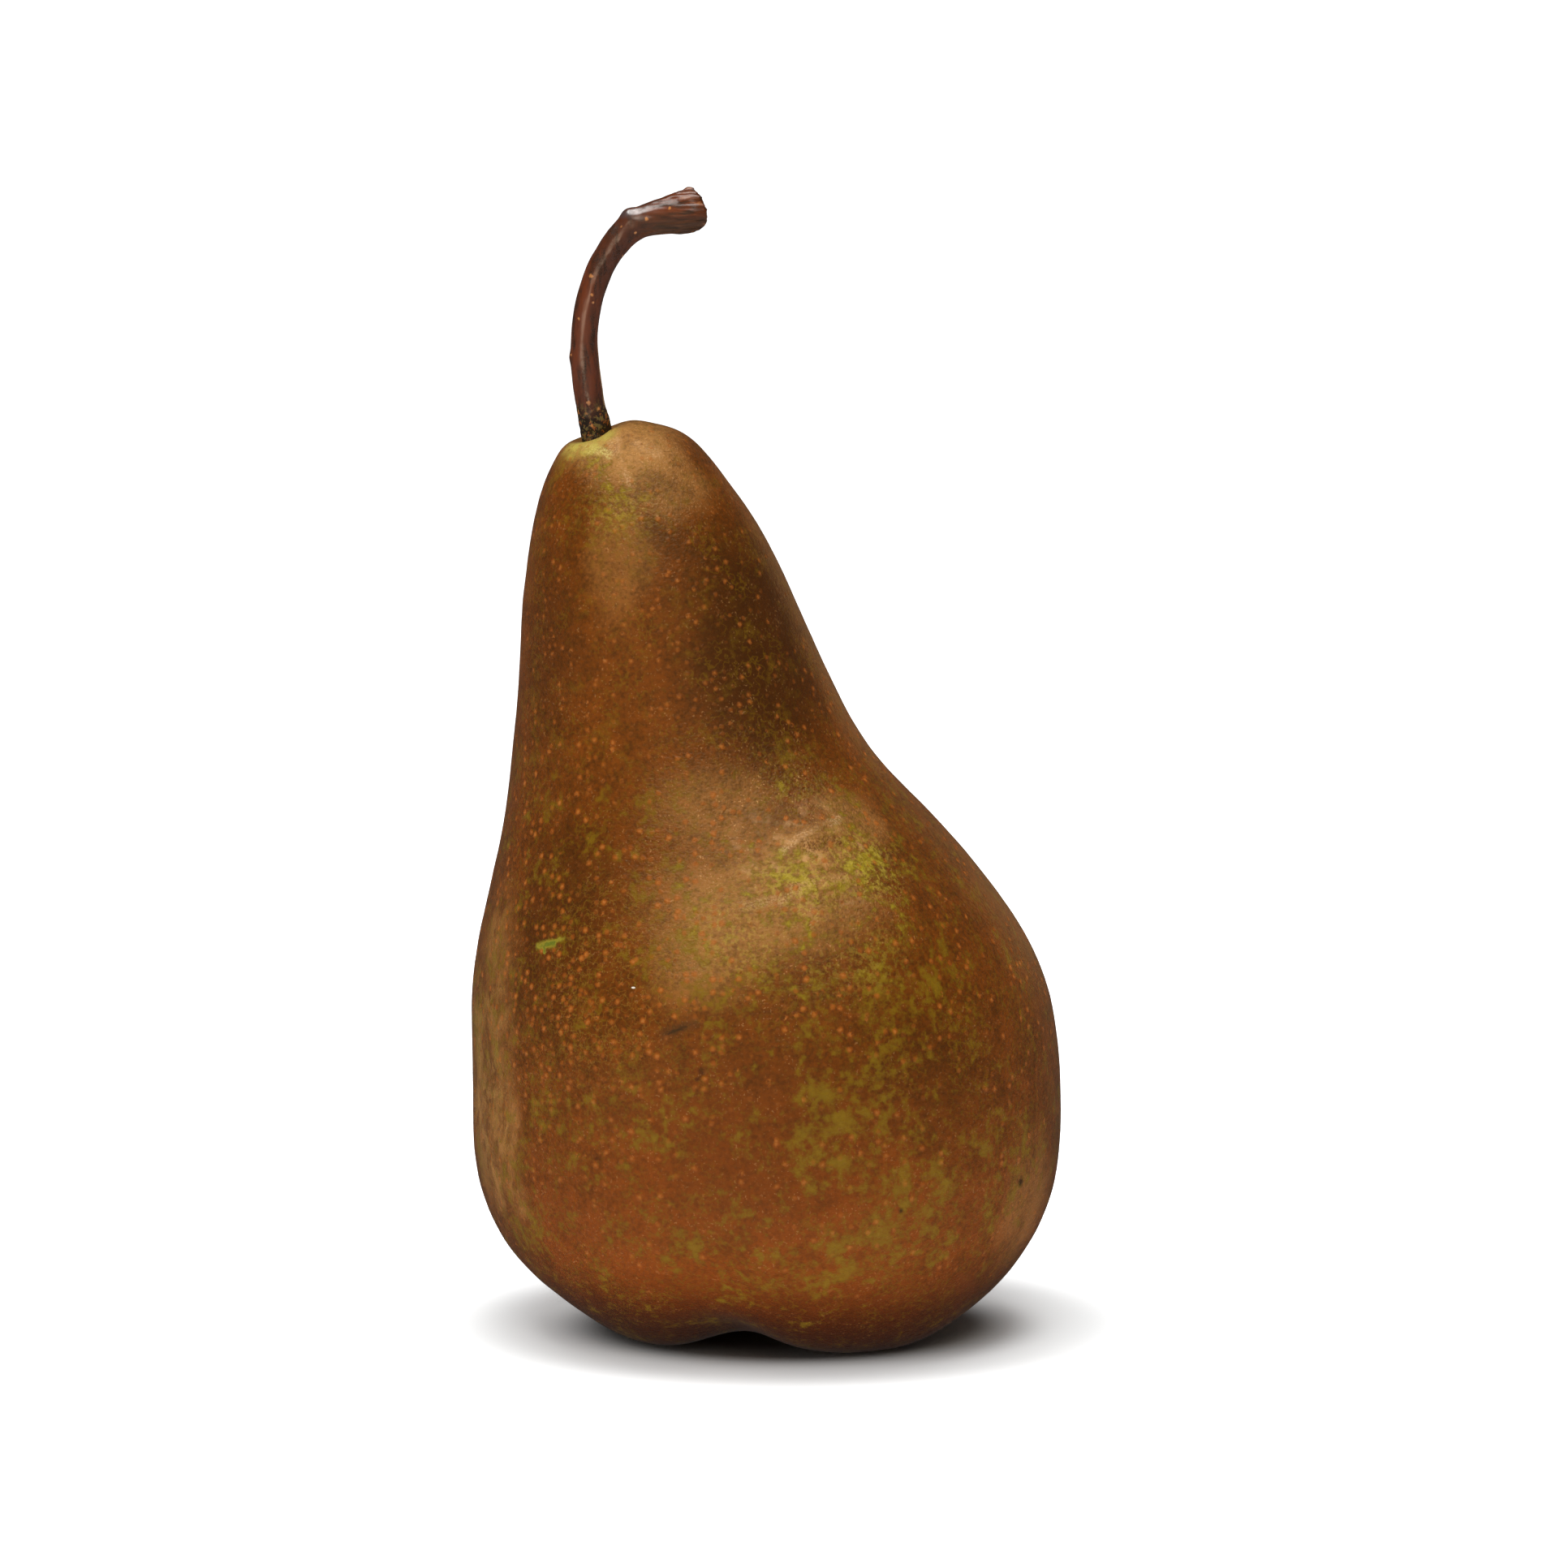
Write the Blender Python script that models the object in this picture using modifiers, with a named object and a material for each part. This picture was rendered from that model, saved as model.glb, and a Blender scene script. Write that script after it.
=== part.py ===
"""A ripe russet pear of the long-necked kind, standing on its blossom end.

Metres, +Z up. The pear stands on the plane z = 0, and the origin is under the middle of its box.
The fruit leans towards -X as it rises, and its fuller flank looks towards +X and -Y.

It is built from four solids:
  fruit     the flesh and its skin, one solid with a socket for the stem and a pit for the calyx
  stem      the woody stalk, thin and curved, with a flared, ragged end where it left the twig
  sepals    the dried crown of the flower, in the hollow underneath
  stamens   the dried threads inside that crown
"""

from math import acos, atan2, cos, exp, pi, radians, sin
from random import Random
from typing import NamedTuple

import bmesh
import bpy
import numpy as np
from mathutils import Matrix, Vector, noise

MM = 0.001

# Driving dimensions
FRUIT_WIDTH = 70.0 * MM
FRUIT_HEIGHT = 110.0 * MM
STEM_THICKNESS = 3.2 * MM
CALYX_SPREAD = 12.0 * MM

FRUIT_DEPTH_SHARE = 0.97  # front to back, of the width
FIT_GAP = 0.3 * MM  # clearance between solids that meet
UNEVENNESS = 0.35 * MM  # of the whole skin, over a few centimetres
UNEVEN_SPAN = 17.0 * MM
SEPAL_THICKNESS = 0.6 * MM
THREAD_RADIUS = 0.27 * MM
SEPAL_COUNT = 5
THREAD_COUNT = 15

# How finely the solids are divided
FRUIT_SIDES = 72
FRUIT_RINGS = 64
STEM_SIDES = 26
STEM_RINGS = 56
SIDES_PER_SEPAL = 12
SEPAL_ROWS = 8
THREAD_SIDES = 6
THREAD_RINGS = 6


class Ring(NamedTuple):
    """One level line of the fruit. Its height is a share of the fruit's, and the rest are of its width."""

    height: float
    radius: float
    shift: float = 0.0  # of the ring's middle, towards +X
    tilt: float = 0.0  # degrees, lifting the +X side


class Swelling(NamedTuple):
    """A soft rise of the skin, or with a negative lift a soft hollow. Sizes are in percent of the width."""

    turn: float  # degrees round the fruit: 0 at +X, -90 at the front
    ring: float  # where between the RINGS, counted from the first
    across: float  # half width
    tall: float  # half height
    slant: float  # degrees that its height leans over, towards growing turns
    lift: float


class Joint(NamedTuple):
    """A point of the stem's middle line, in stem thicknesses from the socket's mouth."""

    x: float
    y: float
    z: float
    width: float  # seen from the front
    depth: float  # from front to back


CROWN_RADIUS = 0.2 * CALYX_SPREAD
SOCKET_RADIUS = (0.56 * STEM_THICKNESS + FIT_GAP) / FRUIT_WIDTH
PIT_RADIUS = (CROWN_RADIUS + SEPAL_THICKNESS / 2 + FIT_GAP) / FRUIT_WIDTH

# From the calyx pit, under and round the base, up flank and neck, over the top, and down the stem's socket.
RINGS = (
    Ring(0.082, 0.000),
    Ring(0.082, PIT_RADIUS * 0.85),
    Ring(0.077, PIT_RADIUS),
    Ring(0.064, PIT_RADIUS * 1.02),
    Ring(0.056, PIT_RADIUS * 1.20),
    Ring(0.047, 0.080),
    Ring(0.030, 0.120),
    Ring(0.012, 0.160),
    Ring(0.005, 0.205),
    Ring(0.010, 0.270, 0.005),
    Ring(0.035, 0.350, 0.015),
    Ring(0.075, 0.420, 0.005),
    Ring(0.125, 0.470),
    Ring(0.195, 0.500),
    Ring(0.280, 0.500),
    Ring(0.360, 0.490, -0.010, 1),
    Ring(0.430, 0.460, -0.030, 2),
    Ring(0.490, 0.415, -0.060, 4),
    Ring(0.545, 0.365, -0.095, 6),
    Ring(0.600, 0.315, -0.130, 8),
    Ring(0.660, 0.280, -0.155, 10),
    Ring(0.730, 0.250, -0.175, 11),
    Ring(0.800, 0.225, -0.195, 12),
    Ring(0.860, 0.195, -0.215, 13),
    Ring(0.910, 0.160, -0.235, 14),
    Ring(0.945, 0.130, -0.245, 14),
    Ring(0.965, 0.100, -0.255, 14),
    Ring(0.975, 0.070, -0.265, 15),
    Ring(0.975, 0.045, -0.275, 25),
    Ring(0.966, SOCKET_RADIUS * 1.06, -0.285, 25),
    Ring(0.952, SOCKET_RADIUS, -0.283, 14),
    Ring(0.932, SOCKET_RADIUS, -0.279, 9),
    Ring(0.918, SOCKET_RADIUS * 0.90, -0.276, 9),
    Ring(0.914, 0.000, -0.275, 9),
)
SKIN_BEGINS, SKIN_ENDS = 4, len(RINGS) - 6  # the pit and the socket keep their bare form

SWELLINGS = (
    # the lobes round the calyx, of which three meet the ground
    Swelling(-38, 8.7, 11.5, 11.5, 0, 2.2),
    Swelling(95, 8.4, 11.0, 11.0, 0, 2.1),
    Swelling(176, 8.4, 10.5, 11.0, 0, 2.1),
    Swelling(-142, 8.6, 9.0, 11.0, 0, 0.9),
    Swelling(28, 8.4, 9.0, 11.0, 0, 1.0),
    # the furrows between them, of which the one in front is deep
    Swelling(-103, 9.2, 7.8, 12.0, 0, -4.0),
    Swelling(-4, 8.2, 5.0, 9.0, 0, -1.1),
    Swelling(62, 8.2, 5.0, 9.0, 0, -1.2),
    Swelling(134, 8.2, 5.0, 9.0, 0, -1.2),
    Swelling(-168, 8.2, 4.5, 9.0, 0, -0.9),
    # the valley that rises from the front furrow, and the two cheeks beside it
    Swelling(-101, 11.8, 8.5, 21.0, 4, -1.3),
    Swelling(-55, 13.0, 24.0, 26.0, 0, 1.1),
    Swelling(-135, 14.0, 18.0, 23.0, 0, 0.9),
    # the shoulder's edge, which climbs towards the fuller flank, and the saddle above it
    Swelling(-86, 16.9, 8.0, 28.0, 58, 1.5),
    Swelling(-84, 18.4, 9.0, 26.0, 58, -1.3),
    Swelling(-60, 17.6, 10.0, 10.0, 0, 1.0),
)

SOCKET_MOUTH = Vector((-0.2855 * FRUIT_WIDTH, 0, 0.966 * FRUIT_HEIGHT))

STEM_ROUTE = (
    Joint(0.25, 0.00, -1.50, 0.90, 0.90),
    Joint(0.20, 0.00, -1.15, 1.02, 1.02),
    Joint(0.00, 0.00, 0.00, 1.06, 1.06),
    Joint(-0.15, 0.00, 1.00, 1.06, 1.04),
    Joint(-0.33, 0.02, 2.10, 1.08, 1.04),
    Joint(-0.43, 0.04, 3.30, 1.01, 1.00),
    Joint(-0.40, 0.08, 4.20, 0.99, 0.99),
    Joint(-0.22, 0.12, 5.20, 0.99, 0.99),
    Joint(0.12, 0.20, 6.20, 0.99, 0.99),
    Joint(0.52, 0.26, 6.92, 1.00, 1.00),
    Joint(1.02, 0.32, 7.52, 1.05, 1.02),
    Joint(1.62, 0.38, 7.98, 1.16, 1.08),
    Joint(2.30, 0.44, 8.16, 1.26, 1.16),
    Joint(3.08, 0.50, 8.30, 1.56, 1.32),
    Joint(3.78, 0.56, 8.41, 1.72, 1.45),
    Joint(4.12, 0.59, 8.43, 1.66, 1.38),
)
FLARE_BEGINS = 10  # the joint from which the stem widens into its ragged end
BROKEN_SHARE = 0.07  # of the stem's rings, for the broken face
RIDGES, FINE_RIDGES = 9, 14  # round the stem
RIDGE_DEPTH, FLARE_RIDGE_DEPTH = 0.012, 0.055  # shares of the radius
SPLINTER = 0.16  # how unevenly the face broke, in stem thicknesses

# The calyx's wall from inside the pit out to the tip of a sepal, as shares of the calyx's spread and the
# fruit's height.
SEPAL_PROFILE = (
    (0.200, 0.0740),
    (0.200, 0.0665),
    (0.200, 0.0590),
    (0.230, 0.0530),
    (0.300, 0.0470),
    (0.383, 0.0410),
    (0.450, 0.0370),
    (0.500, 0.0370),
)
SEPAL_NOTCH = 3.2  # points of that profile that the wall passes between two sepals
DISC_RADIUS = CROWN_RADIUS - SEPAL_THICKNESS / 2 - FIT_GAP
DISC_LOW, DISC_HIGH = 0.063 * FRUIT_HEIGHT, 0.073 * FRUIT_HEIGHT


# Smooth lines


def spline(knots, values):
    """A natural cubic through the values, as a function of the knots' parameter."""
    gaps = np.diff(knots)
    count = len(knots)
    system, slopes = np.eye(count), np.zeros_like(values)
    steps = np.diff(values, axis=0) / gaps[:, None]
    for i in range(1, count - 1):
        system[i, i - 1 : i + 2] = gaps[i - 1], 2 * (gaps[i - 1] + gaps[i]), gaps[i]
        slopes[i] = 6 * (steps[i] - steps[i - 1])
    bends = np.linalg.solve(system, slopes)

    def at(t):
        i = int(np.clip(np.searchsorted(knots, t) - 1, 0, count - 2))
        gap, before, after = gaps[i], knots[i + 1] - t, t - knots[i]
        return (
            (before * values[i] + after * values[i + 1]) / gap
            + bends[i] * (before**3 / gap - gap * before) / 6
            + bends[i + 1] * (after**3 / gap - gap * after) / 6
        )

    return at


def line_through(points):
    """A smooth line through the points, as a function that counts from 0 at the first of them."""
    values = np.array(points, float)
    strides = np.linalg.norm(np.diff(values[:, :3], axis=0), axis=1)
    knots = np.concatenate([[0], np.cumsum(np.sqrt(strides))])
    at = spline(knots, values)
    return lambda count: at(np.interp(count, range(len(points)), knots))


# Building


def finished(name, bm):
    """A smooth-shaded object from an edited mesh."""
    bmesh.ops.recalc_face_normals(bm, faces=bm.faces)
    mesh = bpy.data.meshes.new(name)
    bm.to_mesh(mesh)
    bm.free()
    mesh.shade_smooth()
    return bpy.data.objects.new(name, mesh)


def drawn_out(name, sides, rings, place):
    """A ball whose vertices are moved to place(turn, rise). rise goes from pole to pole, 0 to 1."""
    bm = bmesh.new()
    bmesh.ops.create_uvsphere(bm, u_segments=sides, v_segments=rings, radius=1)
    for vertex in bm.verts:
        x, y, z = vertex.co
        rise = 1 - acos(max(-1.0, min(1.0, z))) / pi
        vertex.co = place(atan2(y, x), rise)
    return finished(name, bm)


def paint(obj, colour, roughness):
    material = bpy.data.materials.new(obj.name)
    material.use_nodes = True
    shader = material.node_tree.nodes["Principled BSDF"]
    shader.inputs["Base Color"].default_value = (*colour, 1)
    shader.inputs["Roughness"].default_value = roughness
    shader.inputs["Metallic"].default_value = 0
    obj.data.materials.append(material)
    return obj


# The fruit

PROFILE = line_through(
    [
        (FRUIT_HEIGHT * r.height, FRUIT_WIDTH * r.radius, FRUIT_WIDTH * r.shift, r.tilt)
        for r in RINGS
    ]
)


def bare_point(turn, ring):
    """A point of the fruit without its swellings."""
    height, radius, shift, tilt = PROFILE(ring)
    out, tilt = radius * cos(turn), radians(tilt)
    return Vector(
        (
            shift + out * cos(tilt),
            FRUIT_DEPTH_SHARE * radius * sin(turn),
            height + out * sin(tilt),
        )
    )


def bare_axes(turn, ring):
    """Unit directions of the bare skin at a point: round the fruit, up it, and out of it."""
    step = 0.02
    round_it = bare_point(turn + step, ring) - bare_point(turn - step, ring)
    up = bare_point(turn, ring + step) - bare_point(turn, ring - step)
    return round_it.normalized(), up.normalized(), round_it.cross(up).normalized()


def swelling_anchor(swelling):
    """Its middle, its three directions divided by their reach, and its lift in metres."""
    percent = FRUIT_WIDTH / 100
    turn, slant = radians(swelling.turn), radians(swelling.slant)
    round_it, up, out = bare_axes(turn, swelling.ring)
    ways = Matrix(
        (
            (round_it * cos(slant) - up * sin(slant)) / (swelling.across * percent),
            (up * cos(slant) + round_it * sin(slant)) / (swelling.tall * percent),
            out / (max(swelling.across, swelling.tall) * percent),
        )
    )
    return bare_point(turn, swelling.ring), ways, swelling.lift * percent


def relief(point, anchors):
    """How far the skin stands out at a point of the bare fruit."""
    lift = UNEVENNESS * noise.noise(point / UNEVEN_SPAN)
    for middle, ways, most in anchors:
        lift += most * exp(-(ways @ (point - middle)).length_squared)
    return lift


def make_fruit():
    anchors = [swelling_anchor(swelling) for swelling in SWELLINGS]

    def place(turn, rise):
        ring = rise * (len(RINGS) - 1)
        point = bare_point(turn, ring)
        if SKIN_BEGINS < ring < SKIN_ENDS:
            fade = min(1, (ring - SKIN_BEGINS) / 2, (SKIN_ENDS - ring) / 2)
            point += bare_axes(turn, ring)[2] * fade * relief(point, anchors)
        point.z = max(point.z, 0)  # flat spots, where the lobes meet the ground
        return point

    fruit = drawn_out("fruit", FRUIT_SIDES, FRUIT_RINGS, place)
    return paint(fruit, (0.19, 0.07, 0.015), 0.45)


# The stem


def make_stem():
    route = line_through(STEM_ROUTE)
    last = len(STEM_ROUTE) - 1

    def place(turn, rise):
        count = last * min(rise / (1 - BROKEN_SHARE), 1)
        inward = max(rise - 1 + BROKEN_SHARE, 0) / BROKEN_SHARE  # 0 to 1 over the broken face
        x, y, z, width, depth = route(count)
        ahead, behind = route(min(count + 0.1, last)), route(count - 0.1)
        forward = Vector(ahead[:3] - behind[:3]).normalized()
        side = Vector((0, 1, 0)).cross(forward).normalized()
        back = forward.cross(side)

        flare = max(0, (count - FLARE_BEGINS) / (last - FLARE_BEGINS))
        waves = sin(RIDGES * turn + 2) + 0.6 * sin(FINE_RIDGES * turn + 3 * flare)
        ridged = 1 + (RIDGE_DEPTH + FLARE_RIDGE_DEPTH * flare) * waves
        rounded = min(1, (rise * STEM_RINGS / 1.5) ** 0.5)  # the root's end
        reach = ridged * rounded * (1 - inward) ** 0.7 / 2
        splinters = noise.noise(Vector((3 * cos(turn), 3 * sin(turn), 5 * inward)))
        spot = Vector((x, y, z))
        spot += side * width * reach * cos(turn) + back * depth * reach * sin(turn)
        spot += forward * (SPLINTER * flare**4 * splinters - 0.1 * inward)
        return spot * STEM_THICKNESS

    stem = drawn_out("stem", STEM_SIDES, STEM_RINGS, place)
    stem.location = SOCKET_MOUTH
    return paint(stem, (0.09, 0.025, 0.01), 0.35)


# The calyx


def make_sepals():
    """Five dried sepals on one short tube, as an open sheet that is given its thickness."""
    draw = Random(5)
    habits = [
        (draw.uniform(0.86, 1.0), draw.uniform(-0.5, 0.7) * MM, draw.uniform(-0.12, 0.12))
        for _ in range(SEPAL_COUNT)
    ]
    profile = line_through([(CALYX_SPREAD * r, FRUIT_HEIGHT * h, 0) for r, h in SEPAL_PROFILE])
    last = len(SEPAL_PROFILE) - 1
    bm = bmesh.new()
    sides = SEPAL_COUNT * SIDES_PER_SEPAL
    bmesh.ops.create_grid(bm, x_segments=sides, y_segments=SEPAL_ROWS, size=0.5)
    for vertex in bm.verts:
        along = (vertex.co.x + 0.5) * SEPAL_COUNT
        index = int(min(along, SEPAL_COUNT - 0.001))
        aside = 2 * (along - index) - 1  # -1 to 1 from one edge of the sepal to the other
        length, droop, twist = habits[index]
        pointed = max(0, 1 - abs(aside)) ** 1.3
        reach = (vertex.co.y + 0.5) * (SEPAL_NOTCH + (last * length - SEPAL_NOTCH) * pointed)
        outer = max(0, reach - SEPAL_NOTCH) / (last - SEPAL_NOTCH)
        radius, height, _ = profile(reach)
        height -= droop * outer**2 + 0.5 * MM * outer * aside**2
        turn = index + 0.5 + aside / 2 * (1 - 0.45 * outer) + twist * outer
        turn *= 2 * pi / SEPAL_COUNT
        vertex.co = radius * cos(turn), radius * sin(turn), height
    bmesh.ops.remove_doubles(bm, verts=bm.verts, dist=0.001 * MM)
    sepals = finished("sepals", bm)
    solid = sepals.modifiers.new("thickness", "SOLIDIFY")
    solid.thickness = SEPAL_THICKNESS
    solid.offset = 0
    solid.use_even_offset = True
    return paint(sepals, (0.05, 0.025, 0.012), 0.8)


def make_thread(foot, tip, number):
    """One dried thread from the disc, thickest at the knob on its tip."""

    def place(turn, rise):
        ends = min(1, 6 * min(rise, 1 - rise)) ** 0.5
        thickness = THREAD_RADIUS * (0.8 + 0.6 * rise**6) * ends
        bend = Vector((0, 0, 0.3 * MM * sin(pi * rise)))
        return foot.lerp(tip, rise) + bend + thickness * Vector((cos(turn), sin(turn), 0))

    return drawn_out(f"thread_{number}", THREAD_SIDES, THREAD_RINGS, place)


def make_stamens():
    """The disc that closes the crown's tube, with its dried threads, as one body."""
    bm = bmesh.new()
    bmesh.ops.create_cone(
        bm,
        cap_ends=True,
        segments=24,
        radius1=DISC_RADIUS,
        radius2=DISC_RADIUS,
        depth=DISC_HIGH - DISC_LOW,
        matrix=Matrix.Translation((0, 0, (DISC_LOW + DISC_HIGH) / 2)),
    )
    stamens = finished("stamens", bm)
    stamens.data.set_sharp_from_angle(angle=radians(40))
    bpy.context.scene.collection.objects.link(stamens)

    draw = Random(11)
    threads = bpy.data.collections.new("threads")
    bpy.context.scene.collection.children.link(threads)
    for number in range(THREAD_COUNT):
        turn = 2.4 * number  # the golden angle, which spreads them evenly over the disc
        out = DISC_RADIUS * 0.85 * ((number + 0.5) / THREAD_COUNT) ** 0.5
        foot = Vector((out * cos(turn), out * sin(turn), DISC_LOW + FIT_GAP))
        lean = turn + draw.uniform(-0.6, 0.6)
        spread = draw.uniform(0.1, 0.5) * MM
        length = draw.uniform(1.6, 2.6) * MM
        tip = foot + Vector((spread * cos(lean), spread * sin(lean), -length))
        threads.objects.link(make_thread(foot, tip, number))

    union = stamens.modifiers.new("threads", "BOOLEAN")
    union.operation = "UNION"
    union.operand_type = "COLLECTION"
    union.collection = threads
    with bpy.context.temp_override(object=stamens):
        bpy.ops.object.modifier_apply(modifier=union.name)
    for thread in list(threads.objects):
        bpy.data.objects.remove(thread)
    bpy.data.collections.remove(threads)
    bpy.context.scene.collection.objects.unlink(stamens)
    return paint(stamens, (0.03, 0.016, 0.01), 0.85)


def main():
    for obj in list(bpy.data.objects):
        bpy.data.objects.remove(obj)
    pear = bpy.data.collections.new("pear")
    bpy.context.scene.collection.children.link(pear)
    for obj in (make_fruit(), make_stem(), make_sepals(), make_stamens()):
        pear.objects.link(obj)


main()
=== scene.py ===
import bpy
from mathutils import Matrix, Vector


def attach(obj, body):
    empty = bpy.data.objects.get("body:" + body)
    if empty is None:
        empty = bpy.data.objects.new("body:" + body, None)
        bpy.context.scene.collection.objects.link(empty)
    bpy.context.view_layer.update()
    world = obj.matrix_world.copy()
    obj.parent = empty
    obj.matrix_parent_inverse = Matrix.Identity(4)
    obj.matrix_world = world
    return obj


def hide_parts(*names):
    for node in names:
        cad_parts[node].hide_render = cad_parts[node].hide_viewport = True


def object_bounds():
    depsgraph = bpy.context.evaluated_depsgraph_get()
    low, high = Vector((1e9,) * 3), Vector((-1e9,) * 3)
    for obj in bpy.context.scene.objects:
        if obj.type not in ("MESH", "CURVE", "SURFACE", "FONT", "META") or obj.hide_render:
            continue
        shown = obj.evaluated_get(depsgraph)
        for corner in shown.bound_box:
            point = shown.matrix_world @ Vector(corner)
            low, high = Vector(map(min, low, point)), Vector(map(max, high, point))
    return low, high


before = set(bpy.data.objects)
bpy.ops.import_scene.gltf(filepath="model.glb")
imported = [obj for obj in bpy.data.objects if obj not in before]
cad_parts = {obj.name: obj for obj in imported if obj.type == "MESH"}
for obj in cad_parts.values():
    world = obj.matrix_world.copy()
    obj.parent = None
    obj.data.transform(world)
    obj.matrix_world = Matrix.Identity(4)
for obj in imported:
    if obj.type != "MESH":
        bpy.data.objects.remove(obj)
CAD_BOX = [list(corner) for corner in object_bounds()]

import math

import bmesh
import bpy
import numpy as np
from bpy.props import FloatProperty, FloatVectorProperty, PointerProperty
from mathutils import Vector, noise
from mathutils.bvhtree import BVHTree

bl_info = {
    "name": "Russet Pear",
    "version": (1, 0, 0),
    "blender": (4, 5, 0),
    "location": "3D View > Sidebar > Pear",
    "description": "Dresses a plain solid pear with skin, bark and a dried calyx",
    "category": "Object",
}

MM = 0.001
# Steps that set one seed of a random pattern apart from the next.
NOISE_STEP = (31.7, 17.3, 23.9)
CELL_STEP = (13.1, 41.9, 29.3)
SWELL_STEP = 7.31


def tint(red, green, blue):
    """Turns a colour in the usual steps of 0 to 255 into the linear one that shaders take."""
    steps = (red / 255, green / 255, blue / 255)
    return tuple(s / 12.92 if s <= 0.04045 else ((s + 0.055) / 1.055) ** 2.4 for s in steps)


# ------------ sizes and colours


class PearSkinSettings(bpy.types.PropertyGroup):
    """Colours and sizes of the fruit's skin."""

    russet: FloatVectorProperty(
        name="Russet",
        description="Main brown of the skin",
        subtype="COLOR",
        default=tint(117, 58, 9),
    )
    shade: FloatVectorProperty(
        name="Dark russet",
        description="Darkest brown between the mottles",
        subtype="COLOR",
        default=tint(80, 42, 7),
    )
    # Umber is partly a deeper brown and partly painted shade where the neck and the flanks turn
    # away from the light.
    umber_shade: FloatVectorProperty(
        name="Umber",
        description="Deep brown of the neck and of the left flank",
        subtype="COLOR",
        default=tint(56, 29, 7),
    )
    flush: FloatVectorProperty(
        name="Flush",
        description="Warm orange brown of the belly",
        subtype="COLOR",
        default=tint(136, 60, 6),
    )
    olive: FloatVectorProperty(
        name="Olive",
        description="Green ground colour where the russet is thin",
        subtype="COLOR",
        default=tint(114, 84, 12),
    )
    lime: FloatVectorProperty(
        name="Lime",
        description="Brightest yellow green in the middle of a green patch",
        subtype="COLOR",
        default=tint(158, 138, 28),
    )
    # Tan also paints the highlight on the up-facing shoulder and crown as paler skin.
    tan: FloatVectorProperty(
        name="Tan",
        description="Pale dull skin of the crown and of the dented shoulder",
        subtype="COLOR",
        default=tint(176, 124, 64),
    )
    # Straw paints the sheen along the grazing left edge as pale streaky skin.
    straw: FloatVectorProperty(
        name="Straw",
        description="Pale skin where the left side was rubbed",
        subtype="COLOR",
        default=tint(194, 140, 74),
    )
    dot: FloatVectorProperty(
        name="Dots",
        description="Orange tan of the corky dots",
        subtype="COLOR",
        default=tint(164, 84, 20),
    )
    dot_size: FloatProperty(
        name="Dot size",
        description="Width of the largest corky dots",
        subtype="DISTANCE",
        unit="LENGTH",
        default=1.15 * MM,
        min=0.2 * MM,
        max=4 * MM,
    )
    dot_spacing: FloatProperty(
        name="Dot spacing",
        description="Usual distance from one corky dot to the next",
        subtype="DISTANCE",
        unit="LENGTH",
        default=1.05 * MM,
        min=0.4 * MM,
        max=8 * MM,
    )
    gloss: FloatProperty(
        name="Roughness",
        description="Roughness of the smooth skin between the dots",
        subtype="FACTOR",
        default=0.34,
        min=0,
        max=1,
    )
    swell: FloatProperty(
        name="Unevenness",
        description="Height of the low swells of the flesh under the skin",
        subtype="DISTANCE",
        unit="LENGTH",
        default=0.10 * MM,
        min=0,
        max=1 * MM,
    )


class PearStemSettings(bpy.types.PropertyGroup):
    """Colours and sizes of the stem."""

    bark: FloatVectorProperty(
        name="Bark",
        description="Reddish brown of the stem",
        subtype="COLOR",
        default=tint(100, 41, 4),
    )
    # Dark bark also paints the shade on the stem's right side.
    dark_bark: FloatVectorProperty(
        name="Dark bark",
        description="Brown black of the streaks and of the right side",
        subtype="COLOR",
        default=tint(52, 24, 4),
    )
    cork: FloatVectorProperty(
        name="Cork",
        description="Tan of the small scars",
        subtype="COLOR",
        default=tint(196, 124, 58),
    )
    ridge: FloatProperty(
        name="Ridges",
        description="Height of the lengthwise ridges at the stem's wide end",
        subtype="DISTANCE",
        unit="LENGTH",
        default=0.22 * MM,
        min=0,
        max=1 * MM,
    )
    gloss: FloatProperty(
        name="Roughness",
        description="Roughness of the bark",
        subtype="FACTOR",
        default=0.42,
        min=0,
        max=1,
    )


class PearCalyxSettings(bpy.types.PropertyGroup):
    """Colours of the dried flower at the fruit's lower end."""

    sepal: FloatVectorProperty(
        name="Sepals",
        description="Grey brown of the dried sepals",
        subtype="COLOR",
        default=tint(84, 62, 44),
    )
    stamen: FloatVectorProperty(
        name="Stamens",
        description="Brown black of the dried stamens",
        subtype="COLOR",
        default=tint(48, 33, 24),
    )


class PearStudioSettings(bpy.types.PropertyGroup):
    """The floor, the light and the camera."""

    key_power: FloatProperty(
        name="Main light",
        description="Power of the large soft light above",
        subtype="POWER",
        unit="POWER",
        default=6.2,
        min=0,
    )
    fill_power: FloatProperty(
        name="Left fill",
        description="Power of the weak light on the left",
        subtype="POWER",
        unit="POWER",
        default=2.0,
        min=0,
    )
    front_power: FloatProperty(
        name="Front light",
        description="Power of the small light above the camera",
        subtype="POWER",
        unit="POWER",
        default=1.2,
        min=0,
    )
    stem_power: FloatProperty(
        name="Stem light",
        description="Power of the low light on the left that glosses the stem",
        subtype="POWER",
        unit="POWER",
        default=0.60,
        min=0,
    )
    rim_power: FloatProperty(
        name="Rim light",
        description="Power of the warm light behind, on the right",
        subtype="POWER",
        unit="POWER",
        default=0.22,
        min=0,
    )
    surround: FloatProperty(
        name="Surround",
        description="Brightness of the white studio all round",
        default=0.06,
        min=0,
    )
    camera_distance: FloatProperty(
        name="Camera distance",
        description="Distance from the camera to the middle of the picture",
        subtype="DISTANCE",
        unit="LENGTH",
        default=0.9,
        min=0.1,
    )
    camera_tilt: FloatProperty(
        name="Camera tilt",
        description="How far the camera looks down",
        subtype="ANGLE",
        unit="ROTATION",
        default=math.radians(9),
    )
    lens: FloatProperty(
        name="Lens",
        description="Focal length of the camera",
        unit="CAMERA",
        default=174.9,
        min=1,
    )


# ------------ shader sums


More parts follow.
